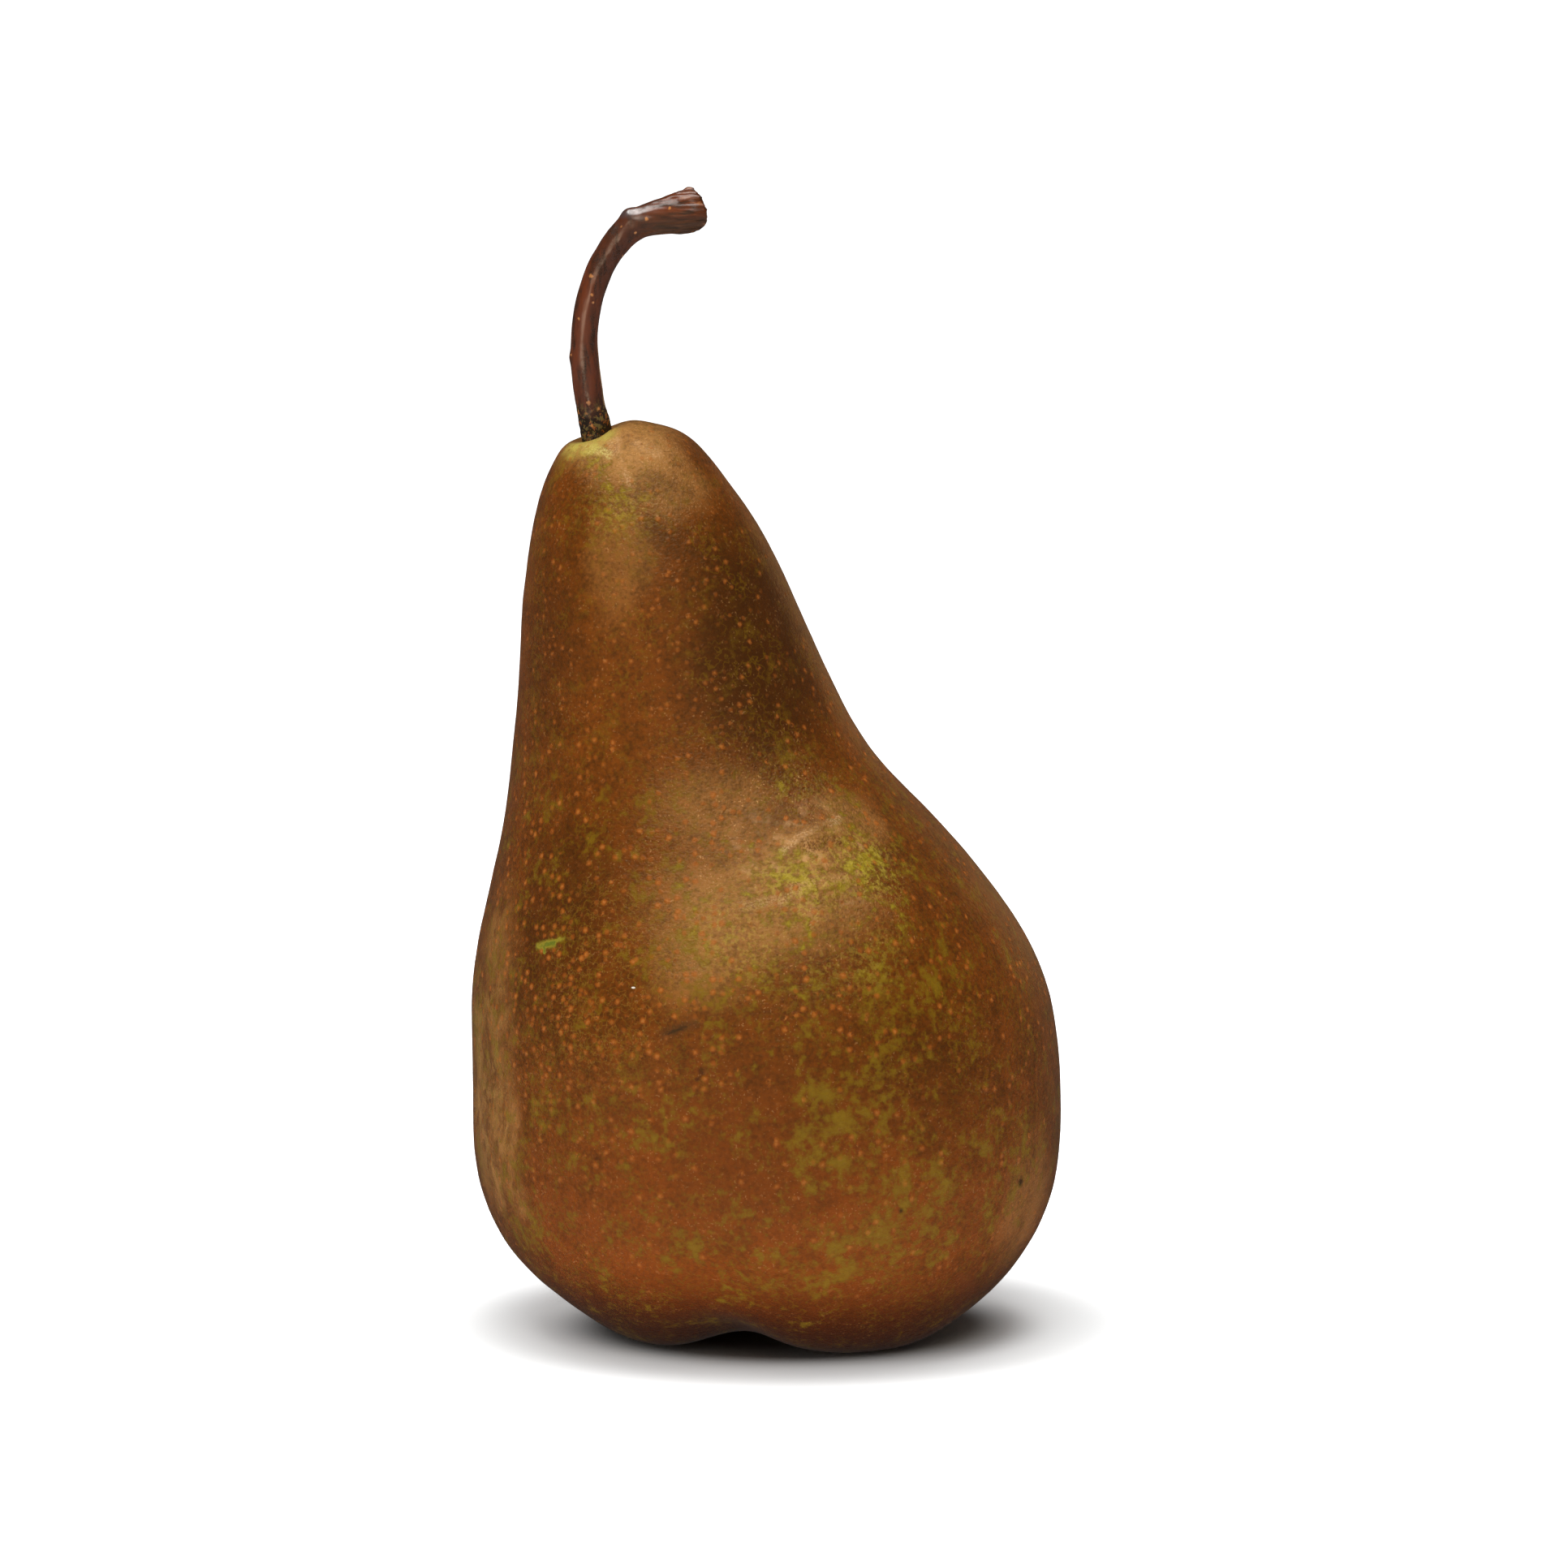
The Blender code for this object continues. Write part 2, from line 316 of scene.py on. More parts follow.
class Wire:
    """One output of a shader node. A sum on wires that carry numbers adds its Math nodes."""

    def __init__(self, finish, socket):
        self.finish = finish
        self.socket = socket

    def math(self, operation, *values):
        return self.finish.node("ShaderNodeMath", {"operation": operation}, dict(enumerate(values)))

    def __add__(self, other):
        return self.math("ADD", self, other)

    def __sub__(self, other):
        return self.math("SUBTRACT", self, other)

    def __rsub__(self, other):
        return self.math("SUBTRACT", other, self)

    def __mul__(self, other):
        return self.math("MULTIPLY", self, other)

    def __truediv__(self, other):
        return self.math("DIVIDE", self, other)

    def __rtruediv__(self, other):
        return self.math("DIVIDE", other, self)

    def __abs__(self):
        return self.math("ABSOLUTE", self)

    def __lt__(self, other):
        return self.math("LESS_THAN", self, other)

    def __gt__(self, other):
        return self.math("GREATER_THAN", self, other)

    __radd__ = __add__
    __rmul__ = __mul__

    def most(self, other):
        return self.math("MAXIMUM", self, other)

    def least(self, other):
        return self.math("MINIMUM", self, other)

    def ease(self, start, end):
        """Goes smoothly from 0 at start to 1 at end, and stays there."""
        sockets = {"Value": self, "From Min": start, "From Max": end}
        smooth = {"interpolation_type": "SMOOTHSTEP"}
        return self.finish.node("ShaderNodeMapRange", smooth, sockets)


class Finish:
    """A material under way. Lengths inside it are in millimetres on the object."""

    def __init__(self, name, patterns=None):
        self.patterns = patterns
        self.material = bpy.data.materials.new(name)
        self.material.use_nodes = True
        self.tree = self.material.node_tree
        self.tree.nodes.clear()
        metres = self.node("ShaderNodeTexCoord", out="Object")
        self.place = self.vector("SCALE", metres, scale=1 / MM)
        axes = self.node("ShaderNodeSeparateXYZ", sockets={0: self.place})
        self.x, self.y, self.z = (Wire(self, s) for s in axes.socket.node.outputs)

    def node(self, kind, settings=None, sockets=None, out=0):
        """Adds a node of any kind: its settings first, then the values or wires of its sockets."""
        made = self.tree.nodes.new(kind)
        for name, value in (settings or {}).items():
            if name != "stops":
                setattr(made, name, value)
                continue
            stops = made.color_ramp.elements
            while len(stops) < len(value):
                stops.new(0.5)
            for stop, (position, colour) in zip(stops, value):
                stop.position = position
                stop.color = (*colour, 1)
        for name, value in (sockets or {}).items():
            if isinstance(value, Wire):
                self.tree.links.new(value.socket, made.inputs[name])
            else:
                made.inputs[name].default_value = value
        return Wire(self, made.outputs[out]) if made.outputs else None

    def vector(self, operation, first, second=(0, 0, 0), third=(0, 0, 0), scale=1.0):
        """A sum on vectors. Lengths and distances come out as numbers."""
        sockets = {0: first, 1: second, 2: third, 3: scale}
        out = 1 if operation in ("LENGTH", "DISTANCE", "DOT_PRODUCT") else 0
        return self.node("ShaderNodeVectorMath", {"operation": operation}, sockets, out)

    def mix(self, share, first, second):
        """A colour on its way from first to second."""
        sockets = {0: share, 6: first, 7: second}
        for index in (6, 7):
            if not isinstance(sockets[index], Wire):
                sockets[index] = (*tuple(sockets[index])[:3], 1)
        return self.node("ShaderNodeMix", {"data_type": "RGBA"}, sockets, out=2)

    def lay(self, under, mask, layer):
        """Lays a layer, given as a colour and a strength, over a colour where the mask is."""
        colour, strength = layer
        return self.mix(mask * strength, under, colour)

    def moved(self, where, seed, step):
        """The place that is asked for, taken further away for each seed."""
        where = self.place if where is None else where
        if seed:
            where = self.vector("ADD", where, tuple(seed * part for part in step))
        return where

    def noise(self, across, detail, roughness, where=None, out="Fac", seed=0):
        """Noise from 0 to 1 with features about that far across."""
        where = self.moved(where, seed, NOISE_STEP)
        sockets = {"Vector": where, "Scale": 1 / across, "Detail": detail, "Roughness": roughness}
        return self.node("ShaderNodeTexNoise", None, sockets, out)

    def pattern(self, name, where=None):
        """Noise from the finish's own table of patterns."""
        across, detail, roughness, seed = self.patterns[name]
        return self.noise(across, detail, roughness, where, seed=seed)

    def bent(self, across, reach, where=None, seed=0):
        """The place on the object, shifted by up to about reach so that edges wander."""
        where = self.place if where is None else where
        push = self.noise(across, 3, 0.55, where, "Color", seed)
        push = self.vector("SUBTRACT", push, (0.5, 0.5, 0.5))
        return self.vector("MULTIPLY_ADD", push, (2 * reach,) * 3, where)

    def cells(self, across, where=None, seed=0):
        """The nearest cell: its distance along the surface, its depth, and two random numbers."""
        where = self.moved(where, seed, CELL_STEP)
        sockets = {"Vector": where, "Scale": 1 / across, "Randomness": 0.85}
        cell = self.node("ShaderNodeTexVoronoi", None, sockets, out="Position")
        colours = Wire(self, cell.socket.node.outputs["Color"])
        lots = self.node("ShaderNodeSeparateColor", sockets={0: colours})
        first, second = (Wire(self, s) for s in list(lots.socket.node.outputs)[:2])
        outward = self.node("ShaderNodeNewGeometry", out="Normal")
        away = self.vector("SUBTRACT", where, cell)
        depth = self.vector("DOT_PRODUCT", away, outward)
        level = self.vector("SCALE", outward, scale=depth)
        away = self.vector("LENGTH", self.vector("SUBTRACT", away, level))
        return away, abs(depth), first, second

    def near(self, spot, reach, where=None):
        """1 at a spot, and down to 0 at that reach from it. The reach may differ by axis."""
        where = self.place if where is None else where
        if isinstance(reach, (int, float)):
            away = self.vector("DISTANCE", where, spot)
            return away.ease(reach, 0)
        away = self.vector("SUBTRACT", where, spot)
        away = self.vector("DIVIDE", away, reach)
        return self.vector("LENGTH", away).ease(1, 0)

    def streak(self, start, end, width, where=None):
        """1 along a line from start to end, and down to 0 at half that width from it."""
        where = self.place if where is None else where
        along = Vector(end) - Vector(start)
        away = self.vector("SUBTRACT", where, start)
        share = self.vector("DOT_PRODUCT", away, tuple(along / along.length_squared))
        share = share.most(0).least(1)
        foot = self.vector("SCALE", tuple(along), scale=share)
        away = self.vector("SUBTRACT", away, foot)
        return self.vector("LENGTH", away).ease(width / 2, 0)

    def close(self, colour, roughness, height=None, depth=0, **fixed):
        """Joins it all to the surface: depth is the bump's full height in millimetres."""
        sockets = {"Base Color": colour, "Roughness": roughness}
        if height is not None:
            relief = {"Strength": 1.0, "Distance": depth * MM, "Height": height}
            sockets["Normal"] = self.node("ShaderNodeBump", None, relief)
        sockets.update({name.replace("_", " "): value for name, value in fixed.items()})
        surface = self.node("ShaderNodeBsdfPrincipled", None, sockets)
        self.node("ShaderNodeOutputMaterial", None, {"Surface": surface})
        return self.material


# ------------ shapes

WELD_DISTANCE = 0.001 * MM
QUAD_ANGLE = math.radians(60)


def finer_copy(node, name, levels):
    """A new piece from a solid of the frame: welded, in quads, and subdivided."""
    work = bmesh.new()
    work.from_mesh(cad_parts[node].data)
    bmesh.ops.remove_doubles(work, verts=work.verts, dist=WELD_DISTANCE)
    limits = {"angle_face_threshold": QUAD_ANGLE, "angle_shape_threshold": QUAD_ANGLE}
    bmesh.ops.join_triangles(work, faces=work.faces, **limits)
    rough = bpy.data.meshes.new(name + "_rough")
    work.to_mesh(rough)
    work.free()
    piece = bpy.data.objects.new(name, rough)
    bpy.context.scene.collection.objects.link(piece)
    finer = piece.modifiers.new("Finer", "SUBSURF")
    finer.levels = levels
    finer.render_levels = levels
    bake(piece)
    return piece


def bake(piece):
    """Applies a piece's modifiers to its mesh."""
    evaluated = piece.evaluated_get(bpy.context.evaluated_depsgraph_get())
    mesh = bpy.data.meshes.new_from_object(evaluated)
    piece.modifiers.clear()
    piece.data = mesh
    mesh.polygons.foreach_set("use_smooth", [True] * len(mesh.polygons))
    mesh.update()


def read(mesh):
    """The mesh's points and their normals, one row each."""
    points, normals = np.empty((2, len(mesh.vertices), 3))
    mesh.vertices.foreach_get("co", points.ravel())
    mesh.vertices.foreach_get("normal", normals.ravel())
    return points, normals


def write(mesh, points):
    """Puts the points back, kept inside the box of the solids."""
    low, high = (np.array(corner) for corner in CAD_BOX)
    mesh.vertices.foreach_set("co", np.clip(points, low, high).ravel())
    mesh.update()


def ramp(values, start, length):
    """Goes from 0 at start to 1 at that length past it. A negative length runs the other way."""
    return np.clip((values - start) / length, 0, 1)


def swells(points, across, seed):
    """A smooth random height from -1 to 1 at each point, with swells about that far across."""
    shifted = points / (np.array(across) * MM) + seed * SWELL_STEP
    return np.array([noise.noise(spot) for spot in shifted.tolist()])


def touch(points, spot, along, long, short):
    """1 at a spot, falling away softly: over long in the direction along, over short across it."""
    away = points / MM - np.array(spot)
    way = np.array(along) / np.linalg.norm(along)
    forward = away @ way
    sideways = (away**2).sum(1) - forward**2
    return np.exp(-((forward / long) ** 2) - sideways / short**2)


# Dents and folds of the fruit: spot, direction, reach along and across it, and lift, all in mm.
FRUIT_TOUCHES = (
    ((-19.2, -6.2, 105.8), (0, -1, -0.6), 3.2, 1.7, -0.32),
    ((-17.2, -3.4, 107.9), (0.7, -0.7, 0.3), 2.2, 1.2, 0.25),
    ((15.0, -24.0, 54.5), (1, 0.4, 0.2), 9.0, 5.0, 1.00),
    ((2.0, -26.5, 56.0), (1, 0.2, 0.5), 3.0, 1.6, -0.30),
    ((-3.0, -28.0, 55.0), (1, 0.2, 0.5), 3.0, 1.6, 0.26),
    ((-7.0, -30.0, 50.0), (1, 0.2, 0.3), 3.0, 1.8, -0.22),
    ((5.5, -25.6, 58.0), (1, 0.2, 0.2), 4.5, 1.1, 0.50),
    ((6.2, -20.2, 63.4), (0.8, 0.6, 0.4), 3.4, 0.9, 0.50),
    ((6.3, -22.3, 61.8), (1, 0.3, 0.3), 2.4, 0.8, -0.40),
    ((9.5, -24.6, 56.6), (1, 0.5, 0.1), 3.0, 1.0, -0.30),
    ((5.8, -27.2, 54.6), (1, 0.3, 0), 1.8, 1.2, 0.32),
    ((11.8, -21.4, 59.0), (1, 0.3, 0.2), 3.5, 1.4, 0.20),
    ((9.5, -21.6, 61.0), (1, 0.4, 0.6), 2.4, 1.1, -0.30),
    ((-12.5, -26.3, 9.4), (1, 0, -0.42), 5.0, 0.9, -0.22),
    ((-8.7, -32.5, 42.5), (1, 0, 0.45), 1.6, 0.7, -0.10),
    ((-7.3, -33.0, 37.4), (1, 0, 0), 0.7, 0.7, -0.10),
    ((-19.6, -28.8, 26.4), (1, 0, 0), 0.7, 0.7, -0.12),
    ((29.7, -18.1, 21.3), (1, 0, 0), 0.8, 0.8, -0.12),
    ((32.4, -2.1, 44.5), (1, 0, 0), 0.7, 0.7, 0.14),
    ((-25.7, -2.0, 9.6), (1, 0, 0), 0.7, 0.7, 0.18),
)

# Knots and bends of the stem, in the same form.
STEM_TOUCHES = (
    ((-23.1, -0.2, 116.1), (0, 0, 1), 0.7, 0.5, 0.16),
    ((-21.3, -0.2, 128.0), (0.3, 0, 1), 0.9, 0.7, 0.20),
    ((-18.6, -0.2, 131.8), (0.7, 0, 1), 1.6, 1.3, 0.32),
    ((-16.5, 0.3, 133.4), (0.8, 0, 0.4), 1.0, 1.3, 0.68),
    ((-16.0, -1.0, 133.2), (1, 0, 0.3), 0.8, 0.6, -0.22),
    ((-14.2, -1.2, 132.9), (1, 0, 0), 0.5, 0.5, 0.12),
    ((-20.6, -1.6, 126.6), (0, 0, 1), 0.5, 0.45, 0.16),
    ((-20.6, -1.6, 124.4), (0, 0, 1), 0.6, 0.4, 0.12),
    ((-18.3, -0.6, 109.2), (0, 0, 1), 0.9, 0.9, 0.42),
    ((-17.9, -0.2, 107.8), (0, 0, 1), 1.0, 1.1, 0.45),
    ((-20.8, -1.6, 111.0), (0, 0, 1), 0.5, 0.4, 0.14),
    ((-20.4, -1.4, 115.5), (0, 0, 1), 1.2, 0.35, 0.08),
    ((-18.6, -0.2, 112.5), (0, 0, 1), 0.6, 0.6, 0.10),
)

# Rumpled part of the fruit, and its crown: spot, direction, reach along and across, in mm.
RUMPLED_ZONE = ((2, -25, 58), (1, 0, 0.3), 16, 12)
CROWN_ZONE = ((-15, -5, 106), (1, 0, 0), 9, 8)

# Swells of the flesh: size in mm, share of the unevenness, and seed.
LOW_SWELL = (13, 1)
SMALL_SWELLS = ((4.5, 0.40, 2), (1.7, 0.22, 3))
WRINKLES = ((2.4, 1.2, 0.9), 0.35, 12)
RUMPLED_GAIN = 2.4
# Height in mm below which the swells fade out, so that the fruit stands as its solid does.
RESTING_ZONE = 1.5

# The skin closes round the stem above this share of the height: how far out it is drawn in,
# how fast that fades, how far past the bark it ends, and the least gap to divide by, in mm.
TOP_SHARE = 0.92
SOCKET_REACH = 2.5
SOCKET_FADE = 0.75
SOCKET_OVERLAP = 0.08
SMALLEST_GAP = 0.05


def shape_fruit(mesh, stem, settings):
    """Gives the smooth fruit its swells, dents and creases, and closes the skin round the stem."""
    points, normals = read(mesh)
    rise = settings.swell * swells(points, *LOW_SWELL)
    rumpled = 1 + RUMPLED_GAIN * touch(points, *RUMPLED_ZONE)
    for across, share, seed in SMALL_SWELLS:
        rise += share * settings.swell * swells(points, across, seed) * rumpled
    across, share, seed = WRINKLES
    wrinkled = touch(points, *CROWN_ZONE) + rumpled - 1
    rise += share * settings.swell * swells(points, across, seed) * wrinkled
    for spot, along, long, short, lift in FRUIT_TOUCHES:
        rise += lift * MM * touch(points, spot, along, long, short)
    rise *= np.clip(points[:, 2] / (RESTING_ZONE * MM), 0, 1)
    points += normals * rise[:, None]

    tree = BVHTree.FromObject(stem, bpy.context.evaluated_depsgraph_get())
    close = np.nonzero(points[:, 2] > TOP_SHARE * points[:, 2].max())[0]
    for i in close:
        nearest, _, _, gap = tree.find_nearest(Vector(points[i]))
        if gap < SOCKET_REACH * MM:
            pull = math.exp(-((gap / (SOCKET_FADE * MM)) ** 2))
            step = np.array(nearest) - points[i]
            points[i] += step * pull * (1 + SOCKET_OVERLAP * MM / max(gap, SMALLEST_GAP * MM))
    write(mesh, points)


# Along the stem, in mm: where a change starts and the length that it takes.
FLARE = (-17, 5)
TORN_END = (-9.5, 1.2)
WORN_END = (-10.5, 3.5)
FOOT = (111.5, -3)
# Middle and half width of the torn end, across and up, in mm.
END_MIDDLE = (1.8, 133.2)
END_HALF = (2.4, 2.7)

# Ridges of the stem: size in mm by axis and seed.
UPRIGHT_RIDGES = ((0.8, 0.8, 6), 4)
LYING_RIDGES = ((6, 0.75, 0.75), 5)
FINE_RIDGES = ((4, 0.4, 0.4), 6)
# Bumps of the bark, of the foot and of the torn end: size in mm, seed and height in mm.
BARK_BUMPS = ((2.5, 7, 0.05), (0.7, 8, 0.008))
FOOT_BUMPS = ((1.1, 10, 0.16), (0.4, 11, 0.07))
END_BUMPS = (0.55, 9, 0.45)


def shape_stem(mesh, settings):
    """Gives the smooth stem its lengthwise ridges, scars and torn end."""
    points, normals = read(mesh)
    x, y, z = points.T / MM
    flare = ramp(x, *FLARE)
    upright = swells(points, *UPRIGHT_RIDGES)
    lying = swells(points, *LYING_RIDGES) + 0.5 * swells(points, *FINE_RIDGES)
    rise = settings.ridge * (0.22 * upright * (1 - flare) + lying * flare * (0.25 + 0.75 * flare))
    for across, seed, height in BARK_BUMPS:
        rise += height * MM * swells(points, across, seed)
    for spot, along, long, short, lift in STEM_TOUCHES:
        rise += lift * MM * touch(points, spot, along, long, short)
    foot = ramp(z, *FOOT)
    for across, seed, height in FOOT_BUMPS:
        rise += height * MM * foot * swells(points, across, seed)
    end = np.clip((normals[:, 0] - 0.75) * 6, 0, 1) * ramp(x, *TORN_END)
    across, seed, height = END_BUMPS
    rise += end * height * MM * (swells(points, across, seed) - 0.6)
    worn = ramp(x, *WORN_END)
    points += normals * rise[:, None]

    x, y, z = points.T / MM
    high = (z - END_MIDDLE[1]) / END_HALF[1] + 0.25
    wide = (y - END_MIDDLE[0]) / END_HALF[0]
    drawn = 1.1 * np.clip(high, 0, 2) ** 2.2
    drawn = drawn + 3.2 * np.clip(-high, 0, 2) ** 2 + 0.6 * abs(wide) ** 3
    points[:, 0] -= worn * drawn * MM
    write(mesh, points)


def shape_calyx(mesh, across, height, seed):
    """Crumples a dried part of the calyx, coarsely and then more finely."""
    points, normals = read(mesh)
    rise = swells(points, across, seed) + 0.5 * swells(points, across / 2.5, seed + 1)
    points += normals * (height * MM * rise)[:, None]
    write(mesh, points)


# ------------ finishes

# Random patterns of the skin: size in mm, detail, roughness and seed.
SKIN_PATTERNS = {
    "broad": (20, 2, 0.5, 2),
    "mottle": (3.2, 5, 0.62, 3),
    "fleck": (0.5, 3, 0.65, 4),
    "cloud": (9, 3, 0.55, 5),
    "region": (11, 2, 0.5, 6),
    "clump": (3.4, 5, 0.6, 7),
    "crowd": (8, 2, 0.5, 8),
    "grain": (0.34, 3, 0.6, 9),
    "small clump": (1.1, 3, 0.6, 11),
    "net": (1.5, 2, 0.6, 12),
    "net patches": (5, 2, 0.5, 14),
    "dust": (0.3, 1, 0.5, 16),
    "crumb": (0.6, 3, 0.65, 18),
    "thread": (0.9, 2, 0.5, 20),
    "streak": (0.7, 3, 0.6, 21),
    "crease": (0.8, 3, 0.6, 22),
    "crack": (0.22, 1, 0.5, 24),
    "fold": (2.6, 3, 0.6, 25),
}

# Layers of the skin: colour and strength.
# Painted shade: deep red brown towards the bottom, where the underside is in shade.
LOWER_END_SHADE = (tint(64, 24, 5), 0.9)
# Painted shade in the folds of the shoulder and painted highlight on their ridges.
FOLD_SHADE = (tint(104, 58, 20), 0.60)
FOLD_HIGHLIGHT = (tint(210, 162, 108), 0.34)
THREAD = (tint(150, 112, 40), 0.35)
CRUMB = (tint(180, 156, 56), 0.6)
COLLAR = (tint(196, 178, 82), 0.82)
DOT_HEART = (tint(184, 124, 60), 0.35)
SCRATCH_EDGE = (tint(142, 130, 38), 0.9)
SCRATCH_MIDDLE = (tint(86, 100, 28), 0.8)
SCUFF = (tint(50, 44, 28), 0.45)
TEAR = (tint(38, 32, 20), 0.7)
PIT = (tint(40, 22, 10), 0.9)

# Colours of the skin that cover fully where they are.
# Painted glints: pale specks where the skin sparkles on the shoulder and crown.
GLINT_SPECKS = tint(212, 158, 98)
# Greener end of the painted sheen streaks on the left edge.
SHEEN_GREEN = tint(148, 124, 50)
CHIP = tint(232, 222, 206)

# Strength of the layers whose colour is a setting.
NET_STRENGTH = 0.4
STREAK_STRENGTH = 0.36
PRICK_STRENGTH = 0.6

# Zones of the skin: middle in mm, and reach in mm or by axis.
# Zones of the painted glints; the crown zone also coarsens the bump.
GLINTY_SHOULDER = ((2, -24, 60), 24)
GLINTY_CROWN = ((-14, -6, 106), 14)
COARSE_SHOULDER = ((2, -24, 60), 26)
FOLDED_SHOULDER = ((5, -23, 60), (14, 12, 11))
# Where the green patches are painted brighter as highlight.
HIGHLIT_SHOULDER = ((4, -24, 58), 22)
HIGHLIT_CROWN = ((-18, -8, 102), 12)
THREADED_FLANK = ((-18, -26, 47), (14, 14, 18))
# Where the sheen of the grazing left edge is painted.
SHEEN_FLANK = ((-34, -12, 34), (9, 15, 32))
COLLAR_ZONE = ((-20.5, -2.6, 106.6), 5.8)

# Broad changes of the brown: which colour, its spot in mm, its reach in mm and its share. The deep
# brown rows paint shade where the neck and flanks turn from the light (partly a real deeper brown),
# the tan rows on the shoulder and crown paint highlight, and the straw rows paint the sheen of the
# left edge.
TONES = (
    ("flush", (0, -30, 14), (60, 40, 34), 0.60),
    ("flush", (-4, -30, 34), (20, 20, 18), 0.15),
    # Painted shade on the neck and the flanks, partly a deeper brown.
    ("umber_shade", (0, -12, 84), (14, 20, 26), 0.80),
    ("umber_shade", (-6, -14, 84), (12, 10, 22), 0.35),
    ("umber_shade", (-27, -14, 88), (8, 14, 32), 0.50),
    ("umber_shade", (-24, -22, 54), (13, 16, 22), 0.50),
    ("umber_shade", (18, -24, 36), (16, 16, 20), 0.30),
    ("umber_shade", (0, -33, 30), (20, 14, 18), 0.22),
    # Painted highlight: paler skin on the up-facing shoulder.
    ("tan", (0, -27, 56), (20, 14, 11), 0.60),
    ("tan", (6, -23, 61), (9, 9, 7), 0.85),
    ("tan", (-8, -30, 49), (10, 8, 8), 0.40),
    # Painted highlight: paler skin on the crown; the deep brown row among them paints shade.
    ("tan", (-17, -4, 106.5), (11, 14, 7.5), 0.92),
    ("tan", (-12, -8, 102), (9, 7, 6.5), 0.42),
    ("umber_shade", (-12, -11, 97), (18, 12, 9), 0.16),
    ("tan", (-17, -13, 94), (6, 8, 14), 0.25),
    ("flush", (-5, -29, 12), (22, 14, 9), 0.30),
    # Painted sheen of the grazing left edge.
    ("straw", (-34, -13, 36), (9, 14, 33), 0.54),
    ("straw", (-31, -18, 22), (6, 9, 14), 0.60),
    ("flush", (-23, -24, 14), (12, 12, 10), 0.30),
    ("tan", (30, -14, 18), (7, 12, 14), 0.30),
    # Painted highlight: paler skin on the shoulder.
    ("tan", (10, -16, 64), (8, 7, 6), 0.50),
    ("tan", (-5, -21, 66), (12, 8, 9), 0.35),
)

# Spot in mm, how far the patch reaches in mm, and how green it is.
GREEN_PATCHES = (
    ((11.5, -21.4, 59.5), 8, 1.35),
    ((4.0, -26.5, 58.0), 8, 1.0),
    ((-6.0, -30.0, 50.0), 12, 0.75),
    ((14.5, -28.5, 45.1), 14, 0.75),
    ((9.9, -33.1, 31.8), 14, 0.85),
    ((16.6, -30.1, 19.9), 13, 0.95),
    ((-1.5, -32.3, 15.2), 8, 0.70),
    ((-10.5, -31.0, 18.0), 8, 0.65),
    ((9.5, -30.5, 15.0), 9, 0.80),
    ((-33.0, -9.0, 38.2), 12, 0.9),
    ((-29.0, -17.9, 17.0), 10, 0.8),
    ((-16.4, -11.7, 97.4), 9, 0.75),
    ((-20.5, -5.8, 105.4), 3.5, 1.0),
    ((-24.0, -3.0, 104.5), 4.5, 1.1),
    ((28.0, -20.0, 24.0), 12, 0.8),
    ((22.0, -24.0, 50.0), 8, 0.7),
    ((4.0, -15.0, 70.0), 10, 0.5),
)

# Painted highlights along crease ridges (pale colours) and painted shade in hollows and furrows
# (dark colours): start and end in mm, width in mm, share and colour.
CREASE_LIGHT_AND_SHADE = (
    ((2.0, -23.4, 61.8), (8.4, -18.2, 64.3), 2.0, 0.50, tint(216, 172, 122)),
    ((3.0, -26.8, 57.4), (8.6, -24.2, 58.4), 2.6, 0.42, tint(206, 158, 98)),
    ((-2.5, -27.8, 55.6), (2.5, -27.2, 56.6), 2.4, 0.40, tint(206, 160, 106)),
    ((4.6, -22.6, 61.9), (8.1, -20.8, 62.2), 2.8, 0.85, tint(96, 52, 14)),
    ((6.2, -24.6, 59.2), (8.4, -23.9, 59.0), 2.4, 0.55, tint(110, 62, 20)),
    ((4.8, -27.9, 53.2), (7.4, -27.4, 53.6), 2.2, 0.50, tint(104, 58, 18)),
    ((5.4, -26.8, 55.9), (9.4, -25.9, 56.2), 1.8, 0.45, tint(98, 54, 16)),
    ((-17.8, -5.2, 106.7), (-16.0, -9.3, 102.2), 2.6, 0.45, tint(218, 172, 122)),
    ((-14.8, -6.3, 106.5), (-13.0, -7.0, 105.6), 2.8, 0.30, tint(216, 170, 120)),
    ((-21.0, -4.8, 106.3), (-18.6, -6.7, 105.4), 2.4, 0.60, tint(222, 206, 124)),
    ((-19.2, -7.0, 104.9), (-19.6, -9.8, 101.0), 1.6, 0.40, tint(98, 72, 22)),
)

# Where the corky dots crowd (or with a negative share, thin out): spot, reach in mm by axis, share.
DOT_CROWDS = (
    ((-21, -24, 45), (17, 20, 26), 0.95),
    ((-24, -10, 84), (12, 14, 26), 0.30),
    ((-6, -12, 86), (16, 14, 22), 0.28),
    ((20, -26, 22), (30, 30, 20), -0.25),
    ((0, -30, 8), (60, 60, 12), -0.30),
)

# Small dark pits: spot and reach in mm.
PITS = (
    ((-7.3, -33.0, 37.4), 0.8),
    ((-19.6, -28.8, 26.4), 0.7),
    ((29.7, -18.1, 21.3), 0.9),
    ((-7.9, -33.0, 36.4), 0.5),
    ((15.5, -30.9, 20.6), 0.5),
)

# Lines of the marks: start and end in mm, and width in mm.
SCRATCH_LINES = (
    ((-26.2, -19.3, 49.5), (-24.6, -21.2, 50.2), 1.5),
    ((-24.8, -21.0, 50.2), (-23.6, -22.3, 51.1), 1.1),
    ((-25.7, -20.2, 49.6), (-25.6, -20.5, 48.9), 0.7),
)
SCUFF_LINE = ((-11.6, -31.8, 41.5), (-8.4, -32.5, 42.9), 2.2)
TEAR_LINE = ((-11.2, -32.0, 41.6), (-8.2, -32.6, 42.9), 0.5)

# Pale chip: spot and reach in mm.
CHIP_SPOT = ((-15.3, -29.0, 46.4), (0.45, 0.3, 0.17))


